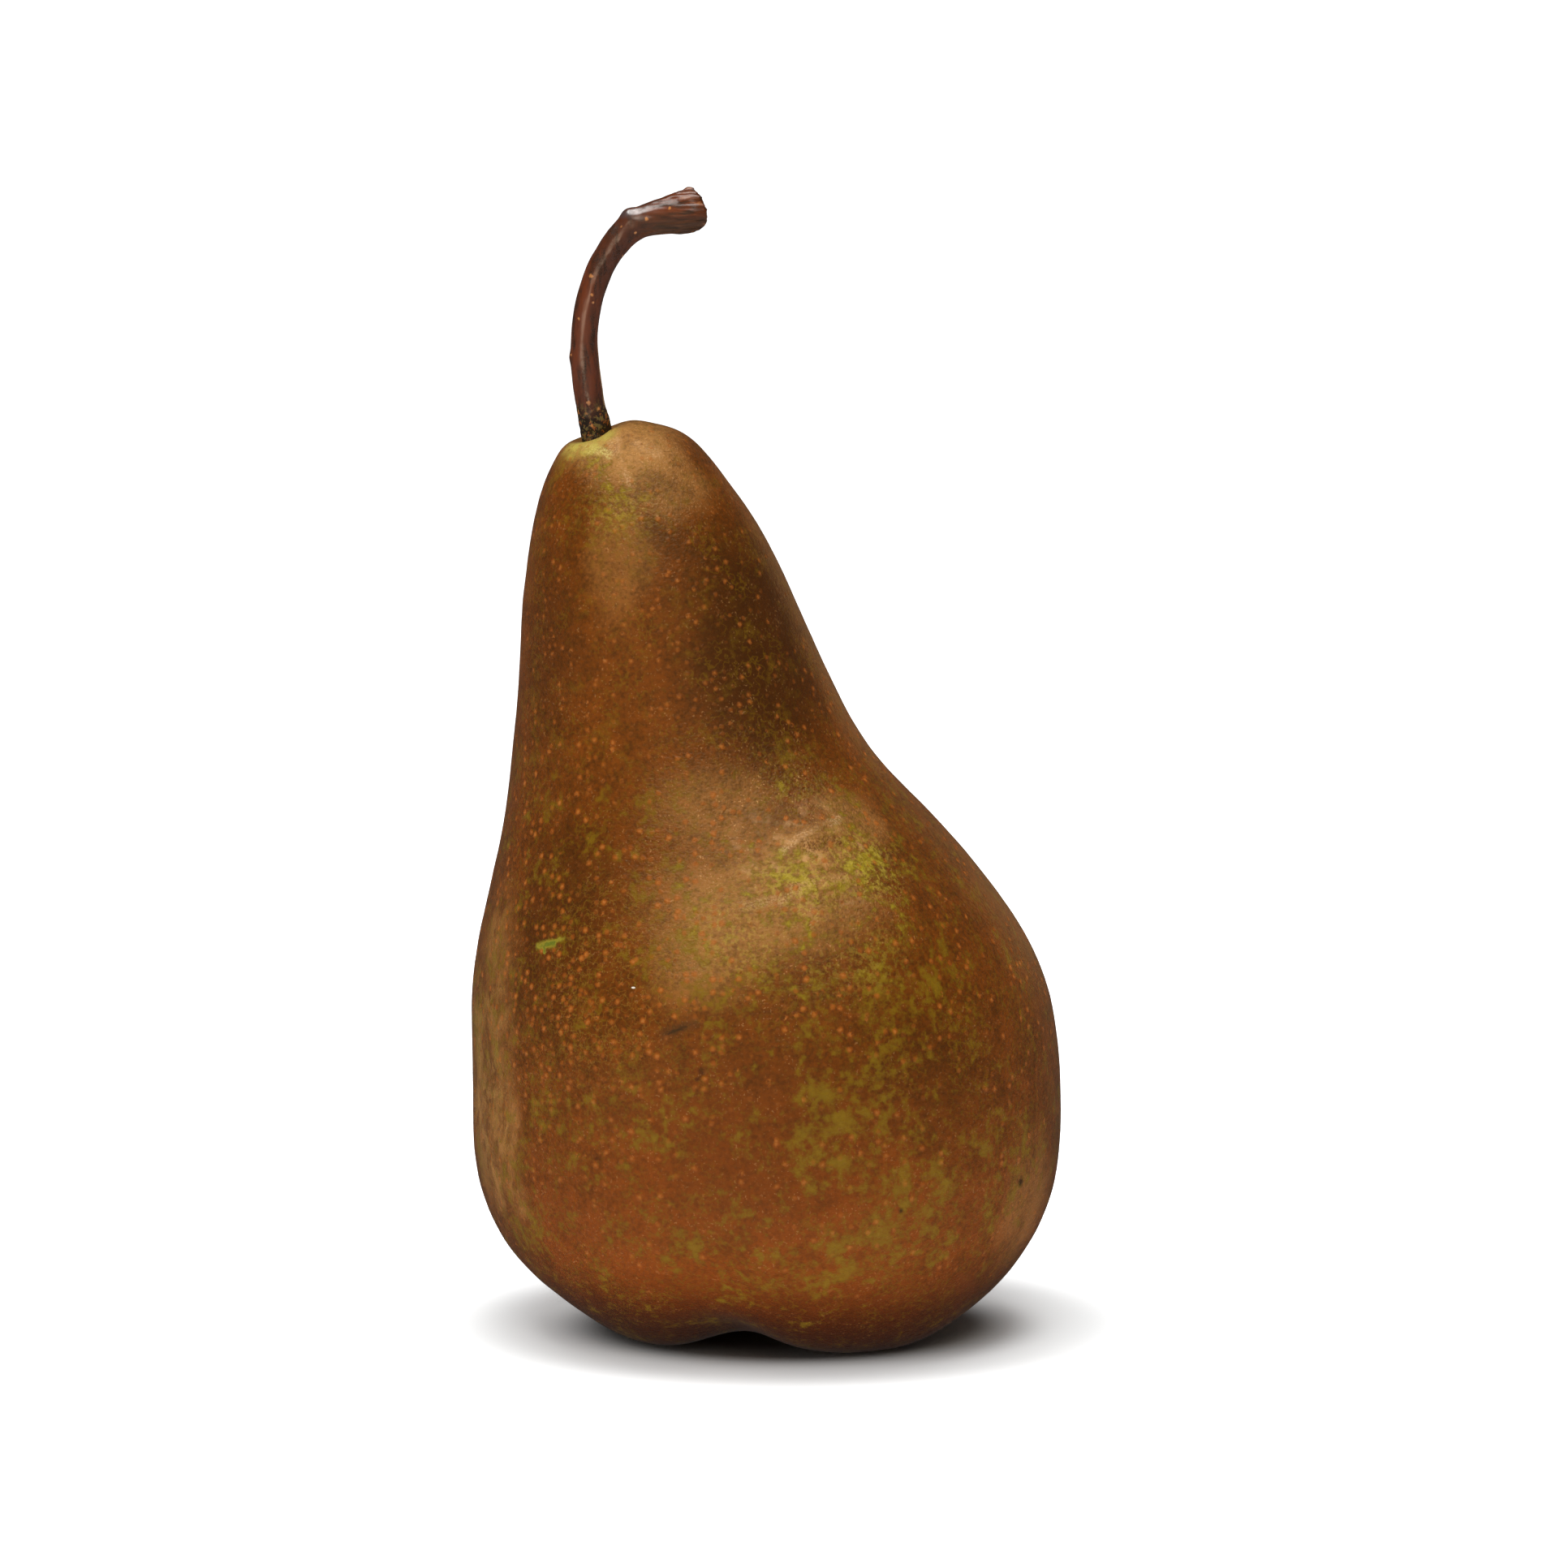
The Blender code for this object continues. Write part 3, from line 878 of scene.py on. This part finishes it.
class Skin(Finish):
    """The skin under way. Each method takes the colour so far and adds its own layers."""

    def __init__(self, settings):
        super().__init__("Russet skin", SKIN_PATTERNS)
        self.settings = settings
        self.wander = self.bent(7, 2.5)
        self.shiver = self.bent(1.2, 0.35, self.wander, 1)
        self.drift = self.bent(6, 1.2, seed=17)
        self.mottle = self.pattern("mottle", self.shiver)
        self.fleck = self.pattern("fleck")
        self.cloud = self.pattern("cloud", self.wander).ease(0.3, 0.7)
        self.clump = 0.5 * self.pattern("clump", self.drift) + 0.5 * self.pattern("small clump")

    def browns(self):
        """Mottled brown, its broad changes of tone with painted shade and highlight among them,
        painted shade at the lower end, painted glints, and painted shade and highlight in the folds
        of the shoulder.
        """
        settings = self.settings
        tone = 0.15 * self.pattern("broad", self.wander) + 0.35 * self.mottle + 0.5 * self.fleck
        colour = self.mix(tone.ease(0.36, 0.62), settings.shade, settings.russet)
        speckled = (0.5 * self.mottle + 0.5 * self.fleck).ease(0.36, 0.56)
        broken = {
            "umber_shade": (),
            "flush": (0.6 + 0.4 * self.cloud, 0.5 + 0.5 * tone.ease(0.36, 0.60)),
            "tan": (0.42 + 0.58 * speckled,),
            "straw": (0.25 + 0.75 * self.cloud, 0.3 + 0.7 * self.mottle.ease(0.40, 0.58)),
        }
        for name, spot, reach, share in TONES:
            patch = self.near(spot, reach, self.wander).ease(0, 0.8) * share
            for mask in broken[name]:
                patch = patch * mask
            colour = self.mix(patch, colour, getattr(settings, name))
        # Painted shade: darker red brown towards the bottom.
        colour = self.lay(colour, self.z.ease(15, 4), LOWER_END_SHADE)
        # Painted glints: pale specks, most on the shoulder and the crown.
        dust = self.pattern("dust").ease(0.62, 0.74) * self.mottle.ease(0.4, 0.6)
        dust = dust * (0.2 + 0.5 * self.near(*GLINTY_SHOULDER) + 0.5 * self.near(*GLINTY_CROWN))
        colour = self.mix(dust, colour, GLINT_SPECKS)
        # Painted shade and highlight of the wrinkles, along a random fold pattern on the shoulder.
        fold = self.pattern("fold", self.drift)
        wrinkled = self.near(*FOLDED_SHOULDER, self.wander).ease(0, 0.6)
        colour = self.lay(colour, fold.ease(0.50, 0.62) * wrinkled, FOLD_SHADE)
        return self.lay(colour, fold.ease(0.46, 0.34) * wrinkled, FOLD_HIGHLIGHT)

    def greens(self, colour):
        """Green ground colour, in fine lines and in patches that turn to bright lime, with lime
        crumbs, on the up-facing shoulder and crown: partly painted highlight.
        """
        settings = self.settings
        net = abs(self.pattern("net") - 0.5).ease(0.04, 0.0)
        net = net * self.pattern("net patches").ease(0.40, 0.60)
        colour = self.lay(colour, net, (settings.olive, NET_STRENGTH))
        thread = abs(self.pattern("thread") - 0.5).ease(0.035, 0.0)
        thread = thread * self.near(*THREADED_FLANK).ease(0, 0.5)
        colour = self.lay(colour, thread, THREAD)

        region = self.pattern("region", self.wander).ease(0.45, 0.75) * 0.5
        for spot, reach, share in GREEN_PATCHES:
            region = region.most(share * self.near(spot, reach, self.wander))
        # Painted highlight: the green turns brighter on the up-facing shoulder and crown.
        highlit = self.near(*HIGHLIT_SHOULDER).most(0.55 * self.near(*HIGHLIT_CROWN))
        highlit = highlit.ease(0, 0.6)
        bare_neck = 0.65 * self.z.ease(62, 74) * (1 - highlit)
        green = (self.clump + 0.11 * region).ease(0.52, 0.65) * (1 - bare_neck)
        bright = (self.clump + 0.10 * region).ease(0.58, 0.74) * (0.22 + 0.78 * highlit)
        leaf = self.mix(bright, settings.olive, settings.lime)
        colour = self.mix(green * (0.75 + 0.2 * highlit), colour, leaf)
        crumb = self.pattern("crumb").ease(0.47, 0.62) * highlit * region.least(1)
        return self.lay(colour, crumb, CRUMB)

    def sheen_creases_and_collar(self, colour):
        """Painted sheen streaks on the left edge, painted highlights and shade along the creases,
        and the pale collar round the stem.
        """
        # Painted sheen: pale streaks along the grazing left edge.
        slim = self.vector("MULTIPLY", self.shiver, (1, 1, 0.3))
        streaks = self.pattern("streak", slim).ease(0.48, 0.62)
        streaks = streaks * self.near(*SHEEN_FLANK, self.wander).ease(0, 0.8)
        streaks = streaks * (0.2 + 0.8 * self.cloud)
        sheened = self.mix(self.mottle.ease(0.4, 0.6), self.settings.straw, SHEEN_GREEN)
        colour = self.lay(colour, streaks, (sheened, STREAK_STRENGTH))
        # Painted highlights along the crease ridges and painted shade in their hollows.
        ragged = self.bent(2.2, 0.8, seed=23)
        broken = 0.2 + 0.8 * self.pattern("crack").ease(0.45, 0.62)
        for start, end, width, share, shade in CREASE_LIGHT_AND_SHADE:
            line = self.streak(start, end, width, ragged).ease(0, 0.8)
            colour = self.mix(line * share * broken, colour, shade)
        collar = self.near(*COLLAR_ZONE, self.bent(1.5, 0.9, seed=19)).ease(0.15, 0.7)
        collar = collar * (0.45 + 0.55 * self.clump.ease(0.4, 0.6))
        return self.lay(colour, collar, COLLAR)

    def dots(self, colour):
        """Corky dots. Gives the colour, and the mask of the dots for the relief."""
        settings = self.settings
        spacing = settings.dot_spacing / MM
        away, depth, lot, size = self.cells(spacing, self.bent(0.4, 0.2, seed=13))
        neck = self.z.ease(66, 80)
        half = settings.dot_size / MM * (0.34 + 0.16 * size) * (1 - 0.18 * neck)
        crowd = 0.16 + 0.4 * self.pattern("crowd", self.wander).ease(0.3, 0.7)
        for spot, reach, share in DOT_CROWDS:
            crowd = crowd + share * self.near(spot, reach, self.wander)
        kept = (crowd - lot).ease(0, 0.08) * depth.ease(0.34, 0.28)
        dot = (away / half).ease(1.0, 0.25) * kept
        heart = (away / half).ease(0.5, 0.1) * kept
        clear = (0.6 + 0.4 * self.z.ease(30, 44)) * self.z.ease(2, 18) * (1 - 0.42 * neck)
        colour = self.mix(dot * (0.30 + 0.5 * size) * clear, colour, settings.dot)
        colour = self.lay(colour, heart * size.ease(0.4, 0.9) * clear, DOT_HEART)
        prick = heart * size.ease(0.3, 0.1)
        return self.lay(colour, prick, (settings.shade, PRICK_STRENGTH)), dot

    def marks(self, colour):
        """The green scratch, the dark tear in its scuff, the pits and the pale chip."""
        here = self.bent(0.8, 0.3, seed=15)
        first, second, third = (self.streak(*line, here) for line in SCRATCH_LINES)
        scratch = first.most(0.8 * second).most(third)
        colour = self.lay(colour, (2 * scratch).least(1), SCRATCH_EDGE)
        colour = self.lay(colour, scratch.ease(0.45, 0.9), SCRATCH_MIDDLE)
        colour = self.lay(colour, self.streak(*SCUFF_LINE, here), SCUFF)
        colour = self.lay(colour, self.streak(*TEAR_LINE, here), TEAR)
        for spot, reach in PITS:
            colour = self.lay(colour, self.near(spot, reach, here), PIT)
        return self.mix(self.near(*CHIP_SPOT).ease(0.1, 0.5), colour, CHIP)

    def relief(self, dot):
        """Height and roughness: fine grain and creases, coarser where worn, and raised dots."""
        grain = self.pattern("grain")
        crease = self.pattern("crease", self.vector("MULTIPLY", self.shiver, (0.5, 1, 1.6)))
        worn = self.near(*COARSE_SHOULDER).most(self.near(*GLINTY_CROWN)).ease(0, 0.7)
        height = (1.3 * grain + 0.8 * crease) * (1 + 1.4 * worn) + 0.5 * dot
        roughness = self.settings.gloss + 0.20 * (grain - 0.5) + 0.10 * dot
        return height, roughness


def skin_finish(settings):
    """Russet skin: brown mottles over green, corky dots, fine grain and a few marks."""
    skin = Skin(settings)
    colour, dot = skin.dots(skin.sheen_creases_and_collar(skin.greens(skin.browns())))
    height, roughness = skin.relief(dot)
    return skin.close(
        skin.marks(colour),
        roughness,
        height,
        depth=0.08,
        Specular_IOR_Level=0.26,
        Specular_Tint=(1, 0.82, 0.5, 1),
        Sheen_Weight=0.02,
        Sheen_Roughness=0.35,
        Sheen_Tint=(1, 0.74, 0.4, 1),
    )


# Random patterns of the bark: size in mm, detail, roughness and seed.
BARK_PATTERNS = {
    "upright": (0.8, 4, 0.6, 0),
    "lying": (0.6, 4, 0.6, 1),
    "foot edge": (1.2, 3, 0.6, 2),
    "grain": (0.28, 3, 0.6, 4),
    "speck": (0.45, 2, 0.6, 6),
    "rust": (0.5, 2, 0.6, 7),
    "shine": (0.5, 2, 0.6, 8),
}

# Layers of the bark: colour and strength.
# Painted shade under the wide end, painted highlights on its ridges, painted shade in its furrows,
# and a painted grey glint at the bend.
UNDERSIDE_SHADE = (tint(66, 46, 32), 0.75)
RIDGE_HIGHLIGHTS = (tint(168, 112, 66), 0.7)
FURROW_SHADE = (tint(38, 22, 14), 0.7)
PINCH_GLINT = (tint(70, 64, 66), 0.7)
BLACK_FOOT = (tint(26, 20, 14), 0.92)
FOOT_SPECKS = (tint(112, 92, 40), 0.8)
FOOT_RUST = (tint(158, 88, 30), 0.8)
# Strength of the painted shade on the stem's right side.
SHADED_SIDE_STRENGTH = 0.5
SCAR_STRENGTH = 0.75

# Painted grey glint at the sharp bend below the wide end: spot and reach in mm.
PINCH_GLINT_SPOT = ((-16.4, 0.2, 132.8), (1.5, 1.0, 0.8))

# Tan scars on the stem: spot and reach in mm.
SCARS = (
    ((-20.5, -0.9, 125.7), 0.45),
    ((-14.0, -0.4, 132.3), 0.38),
    ((-11.3, -0.3, 133.6), 0.30),
    ((-22.0, -1.1, 120.7), 0.28),
    ((-20.8, -1.6, 110.9), 0.45),
    ((-19.9, -1.6, 112.6), 0.30),
    ((-19.6, -1.5, 110.2), 0.40),
    ((-18.4, -1.3, 109.2), 0.80),
    ((-20.4, -1.2, 123.5), 0.35),
    ((-22.9, -0.6, 116.4), 0.30),
)


def stem_finish(settings):
    """Dark glossy bark with streaks along it, painted shade on its right side and under its wide
    end, painted highlights and shade on the end's ridges, a painted glint at the bend, tan scars
    and a blackened foot.
    """
    bark = Finish("Stem bark", BARK_PATTERNS)
    place = bark.bent(3, 0.4)
    flare = bark.x.ease(-17, -12)
    upright = bark.pattern("upright", bark.vector("MULTIPLY", place, (1, 1, 0.16)))
    lying = bark.pattern("lying", bark.vector("MULTIPLY", place, (0.16, 1, 1)))
    fibre = upright * (1 - flare) + lying * flare
    colour = bark.mix(fibre.ease(0.32, 0.62), settings.dark_bark, settings.bark)
    # Painted shade: the right side of the upright stem is darker.
    shaded_side = bark.x.ease(-21, -18.6) * (1 - flare)
    colour = bark.lay(colour, shaded_side, (settings.dark_bark, SHADED_SIDE_STRENGTH))
    # Painted shade under the wide end, in a greyer brown.
    colour = bark.lay(colour, bark.z.ease(133.6, 131.6) * flare, UNDERSIDE_SHADE)
    # Painted highlights on the ridge tops and painted shade in the furrows of the wide end.
    colour = bark.lay(colour, lying.ease(0.56, 0.72) * bark.x.ease(-12, -8), RIDGE_HIGHLIGHTS)
    colour = bark.lay(colour, lying.ease(0.46, 0.34) * bark.x.ease(-13, -9), FURROW_SHADE)
    # Painted glint: grey at the sharp bend.
    colour = bark.lay(colour, bark.near(*PINCH_GLINT_SPOT), PINCH_GLINT)
    foot = (bark.z + 3 * (bark.pattern("foot edge") - 0.5)).ease(112.0, 108.6)
    speck = bark.pattern("speck")
    colour = bark.lay(colour, foot, BLACK_FOOT)
    colour = bark.lay(colour, foot * speck.ease(0.52, 0.62), FOOT_SPECKS)
    colour = bark.lay(colour, foot * bark.pattern("rust").ease(0.56, 0.66), FOOT_RUST)

    away, depth, lot, size = bark.cells(1.7, seed=3)
    scar = (away / (0.12 + 0.16 * size)).ease(1, 0.4) * (lot < 0.22) * depth.ease(0.5, 0.4)
    here = bark.bent(0.4, 0.2, seed=5)
    for spot, reach in SCARS:
        scar = scar.most(bark.near(spot, reach, here).ease(0.1, 0.7))
    colour = bark.lay(colour, scar, (settings.cork, SCAR_STRENGTH))

    grain = bark.pattern("grain")
    height = 0.3 * fibre + 0.12 * grain + 0.4 * scar + 1.2 * foot * speck
    roughness = settings.gloss + 0.3 * foot + 0.2 * scar + 0.2 * (grain - 0.5)
    patchy = 0.65 + 0.35 * bark.pattern("shine").ease(0.4, 0.55)
    return bark.close(
        colour,
        roughness,
        height,
        depth=0.07,
        Specular_IOR_Level=0.3,
        Specular_Tint=(1, 0.84, 0.68, 1),
        Coat_Weight=(1 - 0.75 * flare) * (1 - 0.8 * foot) * patchy,
        Coat_Roughness=0.25,
        Coat_IOR=2.1,
    )


VEIN_STRENGTH = 0.6


def calyx_finish(name, colour, seed):
    """Dry papery brown with fine veins."""
    dry = Finish(name)
    blotch = dry.noise(1.4, 5, 0.65, seed=seed)
    slim = dry.vector("MULTIPLY", dry.place, (1, 1, 0.3))
    vein = abs(dry.noise(0.6, 3, 0.5, slim, seed=seed + 1) - 0.5).ease(0.06, 0)
    dark = tuple(0.35 * c for c in colour)
    pale = tuple(min(1, 1.7 * c + 0.02) for c in colour)
    stops = ((0.25, dark), (0.5, tuple(colour)), (0.8, pale))
    tone = dry.node("ShaderNodeValToRGB", {"stops": stops}, {"Fac": blotch})
    tone = dry.lay(tone, vein, (dark, VEIN_STRENGTH))
    height = blotch + 0.5 * vein + 0.4 * dry.noise(0.2, 2, 0.5)
    return dry.close(tone, 0.7 + 0.2 * blotch, height, depth=0.08)


# Distances in mm on the table: the middle of the glow and its stretch, the two rings over which
# it comes up with the share of each, and the ring over which the table darkens under the pear.
# The glow is painted light, and its dip and the dark colour under the pear a painted contact
# shadow.
GLOW_MIDDLE = (3, 0, 0)
GLOW_STRETCH = (1.0, 1.3, 1)
GLOW_RINGS = ((0.38, 21, 32), (0.62, 34, 58))
PAINTED_SHADOW_RING = (20, 9)
TABLE_COLOUR = (0.83, 0.86, 0.87)
PAINTED_SHADOW_COLOUR = (0.16, 0.13, 0.11)


def table_finish():
    """White table with a painted glow that comes up a little way off, and a painted shadow right
    under the pear.
    """
    table = Finish("White table")
    away = table.vector("SUBTRACT", table.place, GLOW_MIDDLE)
    away = table.vector("LENGTH", table.vector("MULTIPLY", away, GLOW_STRETCH))
    # Painted light: the table glows, less near the pear.
    near, far = (share * away.ease(start, end) for share, start, end in GLOW_RINGS)
    glow = table.mix(near + far, (0, 0, 0), (1, 1, 1))
    # Painted shadow: the table's colour darkens right under the pear.
    under = table.vector("LENGTH", table.place).ease(*PAINTED_SHADOW_RING)
    colour = table.mix(under, TABLE_COLOUR, PAINTED_SHADOW_COLOUR)
    return table.close(colour, 0.8, Emission_Color=glow, Emission_Strength=1.1)


# ------------ operators


def settle(piece, node, material):
    """Hangs a finished piece on the frame in place of its solid."""
    piece.data.materials.clear()
    piece.data.materials.append(material)
    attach(piece, "root")
    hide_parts(node)


class PEAR_OT_stem(bpy.types.Operator):
    """Make the stem, with ridges, scars and a torn end"""

    bl_idname = "pear.stem"
    bl_label = "Stem"

    def execute(self, context):
        settings = context.scene.pear_stem
        piece = finer_copy("stem", "pear_stem", levels=2)
        shape_stem(piece.data, settings)
        settle(piece, "stem", stem_finish(settings))
        return {"FINISHED"}


class PEAR_OT_fruit(bpy.types.Operator):
    """Make the fruit, with its dents, creases and russet skin"""

    bl_idname = "pear.fruit"
    bl_label = "Fruit"

    def execute(self, context):
        settings = context.scene.pear_skin
        stem = bpy.data.objects.get("pear_stem")
        if stem is None:
            raise RuntimeError("make the stem first: the skin closes round it")
        piece = finer_copy("fruit", "pear_fruit", levels=2)
        shape_fruit(piece.data, stem, settings)
        settle(piece, "fruit", skin_finish(settings))
        return {"FINISHED"}


class PEAR_OT_calyx(bpy.types.Operator):
    """Make the dried sepals and stamens in the hollow under the fruit"""

    bl_idname = "pear.calyx"
    bl_label = "Calyx"

    def execute(self, context):
        settings = context.scene.pear_calyx
        sepals = finer_copy("sepals", "pear_sepals", levels=2)
        shape_calyx(sepals.data, across=1.5, height=0.12, seed=20)
        settle(sepals, "sepals", calyx_finish("Dried sepals", settings.sepal, 1))
        stamens = finer_copy("stamens", "pear_stamens", levels=1)
        shape_calyx(stamens.data, across=0.5, height=0.04, seed=30)
        settle(stamens, "stamens", calyx_finish("Dried stamens", settings.stamen, 5))
        return {"FINISHED"}


TABLE_RADIUS = 6
TABLE_SIDES = 96

# Lights: the setting that holds the power, place and width in metres, colour, and the switch that
# hides it from the gloss or from all but the gloss.
LIGHTS = {
    "Main light": ("key_power", (-0.05, -0.13, 0.78), 0.65, (1, 1, 1), None),
    "Left fill": ("fill_power", (-0.80, -1.00, 0.08), 1.0, (1, 1, 1), "visible_glossy"),
    "Front light": ("front_power", (0.12, -1.02, 0.72), 0.40, (1, 0.86, 0.74), None),
    "Stem light": ("stem_power", (-0.34, -1.00, 0.19), 0.38, (1, 0.72, 0.50), "visible_diffuse"),
    "Rim light": ("rim_power", (0.50, 1.00, 0.16), 0.30, (1, 0.58, 0.22), None),
}
LIGHT_TARGET = Vector((0, 0, 0.06))

# Middle of the picture in mm, and the camera's sensor in mm and reach in metres.
PICTURE_MIDDLE = (2.04, 0, 65.48)
SENSOR_WIDTH = 36
CLIP_START = 0.05
CLIP_END = 20


class PEAR_OT_studio(bpy.types.Operator):
    """Set the pale floor, the soft light and the camera"""

    bl_idname = "pear.studio"
    bl_label = "Studio"

    def execute(self, context):
        settings = context.scene.pear_studio
        context.scene.view_settings.view_transform = "Standard"
        add_floor()
        add_surround(settings.surround)
        for name, (power, place, across, colour, unseen) in LIGHTS.items():
            add_light(name, getattr(settings, power), place, across, colour, unseen)
        add_camera(settings)
        return {"FINISHED"}


def add_floor():
    """A round table top, white, that is part of the stage."""
    work = bmesh.new()
    bmesh.ops.create_circle(work, cap_ends=True, segments=TABLE_SIDES, radius=TABLE_RADIUS)
    mesh = bpy.data.meshes.new("floor")
    work.to_mesh(mesh)
    work.free()
    mesh.materials.append(table_finish())
    floor = bpy.data.objects.new("floor", mesh)
    bpy.context.scene.collection.objects.link(floor)
    floor.visible_glossy = False


def add_surround(brightness):
    """The white studio all round."""
    world = bpy.data.worlds.new("Studio")
    world.use_nodes = True
    sky = world.node_tree.nodes["Background"]
    sky.inputs["Color"].default_value = (1, 1, 1, 1)
    sky.inputs["Strength"].default_value = brightness
    bpy.context.scene.world = world


def add_light(name, power, place, across, colour, unseen):
    """A round soft light aimed at the pear. It may be left out of the gloss or of the rest."""
    lamp = bpy.data.lights.new(name, "AREA")
    lamp.shape = "DISK"
    lamp.size = across
    lamp.energy = power
    lamp.color = colour
    light = bpy.data.objects.new(name, lamp)
    light.location = place
    if unseen:
        setattr(light, unseen, False)
    aim(light, LIGHT_TARGET)
    bpy.context.scene.collection.objects.link(light)


def add_camera(settings):
    """A long lens that looks down a little at the pear."""
    lens = bpy.data.cameras.new("Camera")
    lens.lens = settings.lens
    lens.sensor_width = SENSOR_WIDTH
    lens.clip_start = CLIP_START
    lens.clip_end = CLIP_END
    camera = bpy.data.objects.new("Camera", lens)
    middle = Vector(PICTURE_MIDDLE) * MM
    back = Vector((0, -math.cos(settings.camera_tilt), math.sin(settings.camera_tilt)))
    camera.location = middle + settings.camera_distance * back
    aim(camera, middle)
    bpy.context.scene.collection.objects.link(camera)
    bpy.context.scene.camera = camera


def aim(thing, target):
    """Turns a light or a camera towards a point."""
    thing.rotation_euler = (target - thing.location).to_track_quat("-Z", "Y").to_euler()


OPERATORS = (PEAR_OT_stem, PEAR_OT_fruit, PEAR_OT_calyx, PEAR_OT_studio)
GROUPS = {
    "pear_skin": PearSkinSettings,
    "pear_stem": PearStemSettings,
    "pear_calyx": PearCalyxSettings,
    "pear_studio": PearStudioSettings,
}


class PEAR_PT_parts(bpy.types.Panel):
    """Lists the pear's pieces and their settings"""

    bl_idname = "PEAR_PT_parts"
    bl_label = "Pear"
    bl_space_type = "VIEW_3D"
    bl_region_type = "UI"
    bl_category = "Pear"

    def draw(self, context):
        for operator in OPERATORS:
            self.layout.operator(operator.bl_idname, text=operator.bl_label)
        for name, group in GROUPS.items():
            box = self.layout.box()
            box.label(text=group.__doc__)
            for setting in group.__annotations__:
                box.prop(getattr(context.scene, name), setting)


def register():
    for name, group in GROUPS.items():
        bpy.utils.register_class(group)
        setattr(bpy.types.Scene, name, PointerProperty(type=group))
    for operator in OPERATORS:
        bpy.utils.register_class(operator)
    bpy.utils.register_class(PEAR_PT_parts)


def unregister():
    bpy.utils.unregister_class(PEAR_PT_parts)
    for operator in reversed(OPERATORS):
        bpy.utils.unregister_class(operator)
    for name, group in GROUPS.items():
        delattr(bpy.types.Scene, name)
        bpy.utils.unregister_class(group)


def main():
    register()
    bpy.ops.pear.stem()
    bpy.ops.pear.fruit()
    bpy.ops.pear.calyx()
    bpy.ops.pear.studio()


if __name__ == "__main__":
    main()
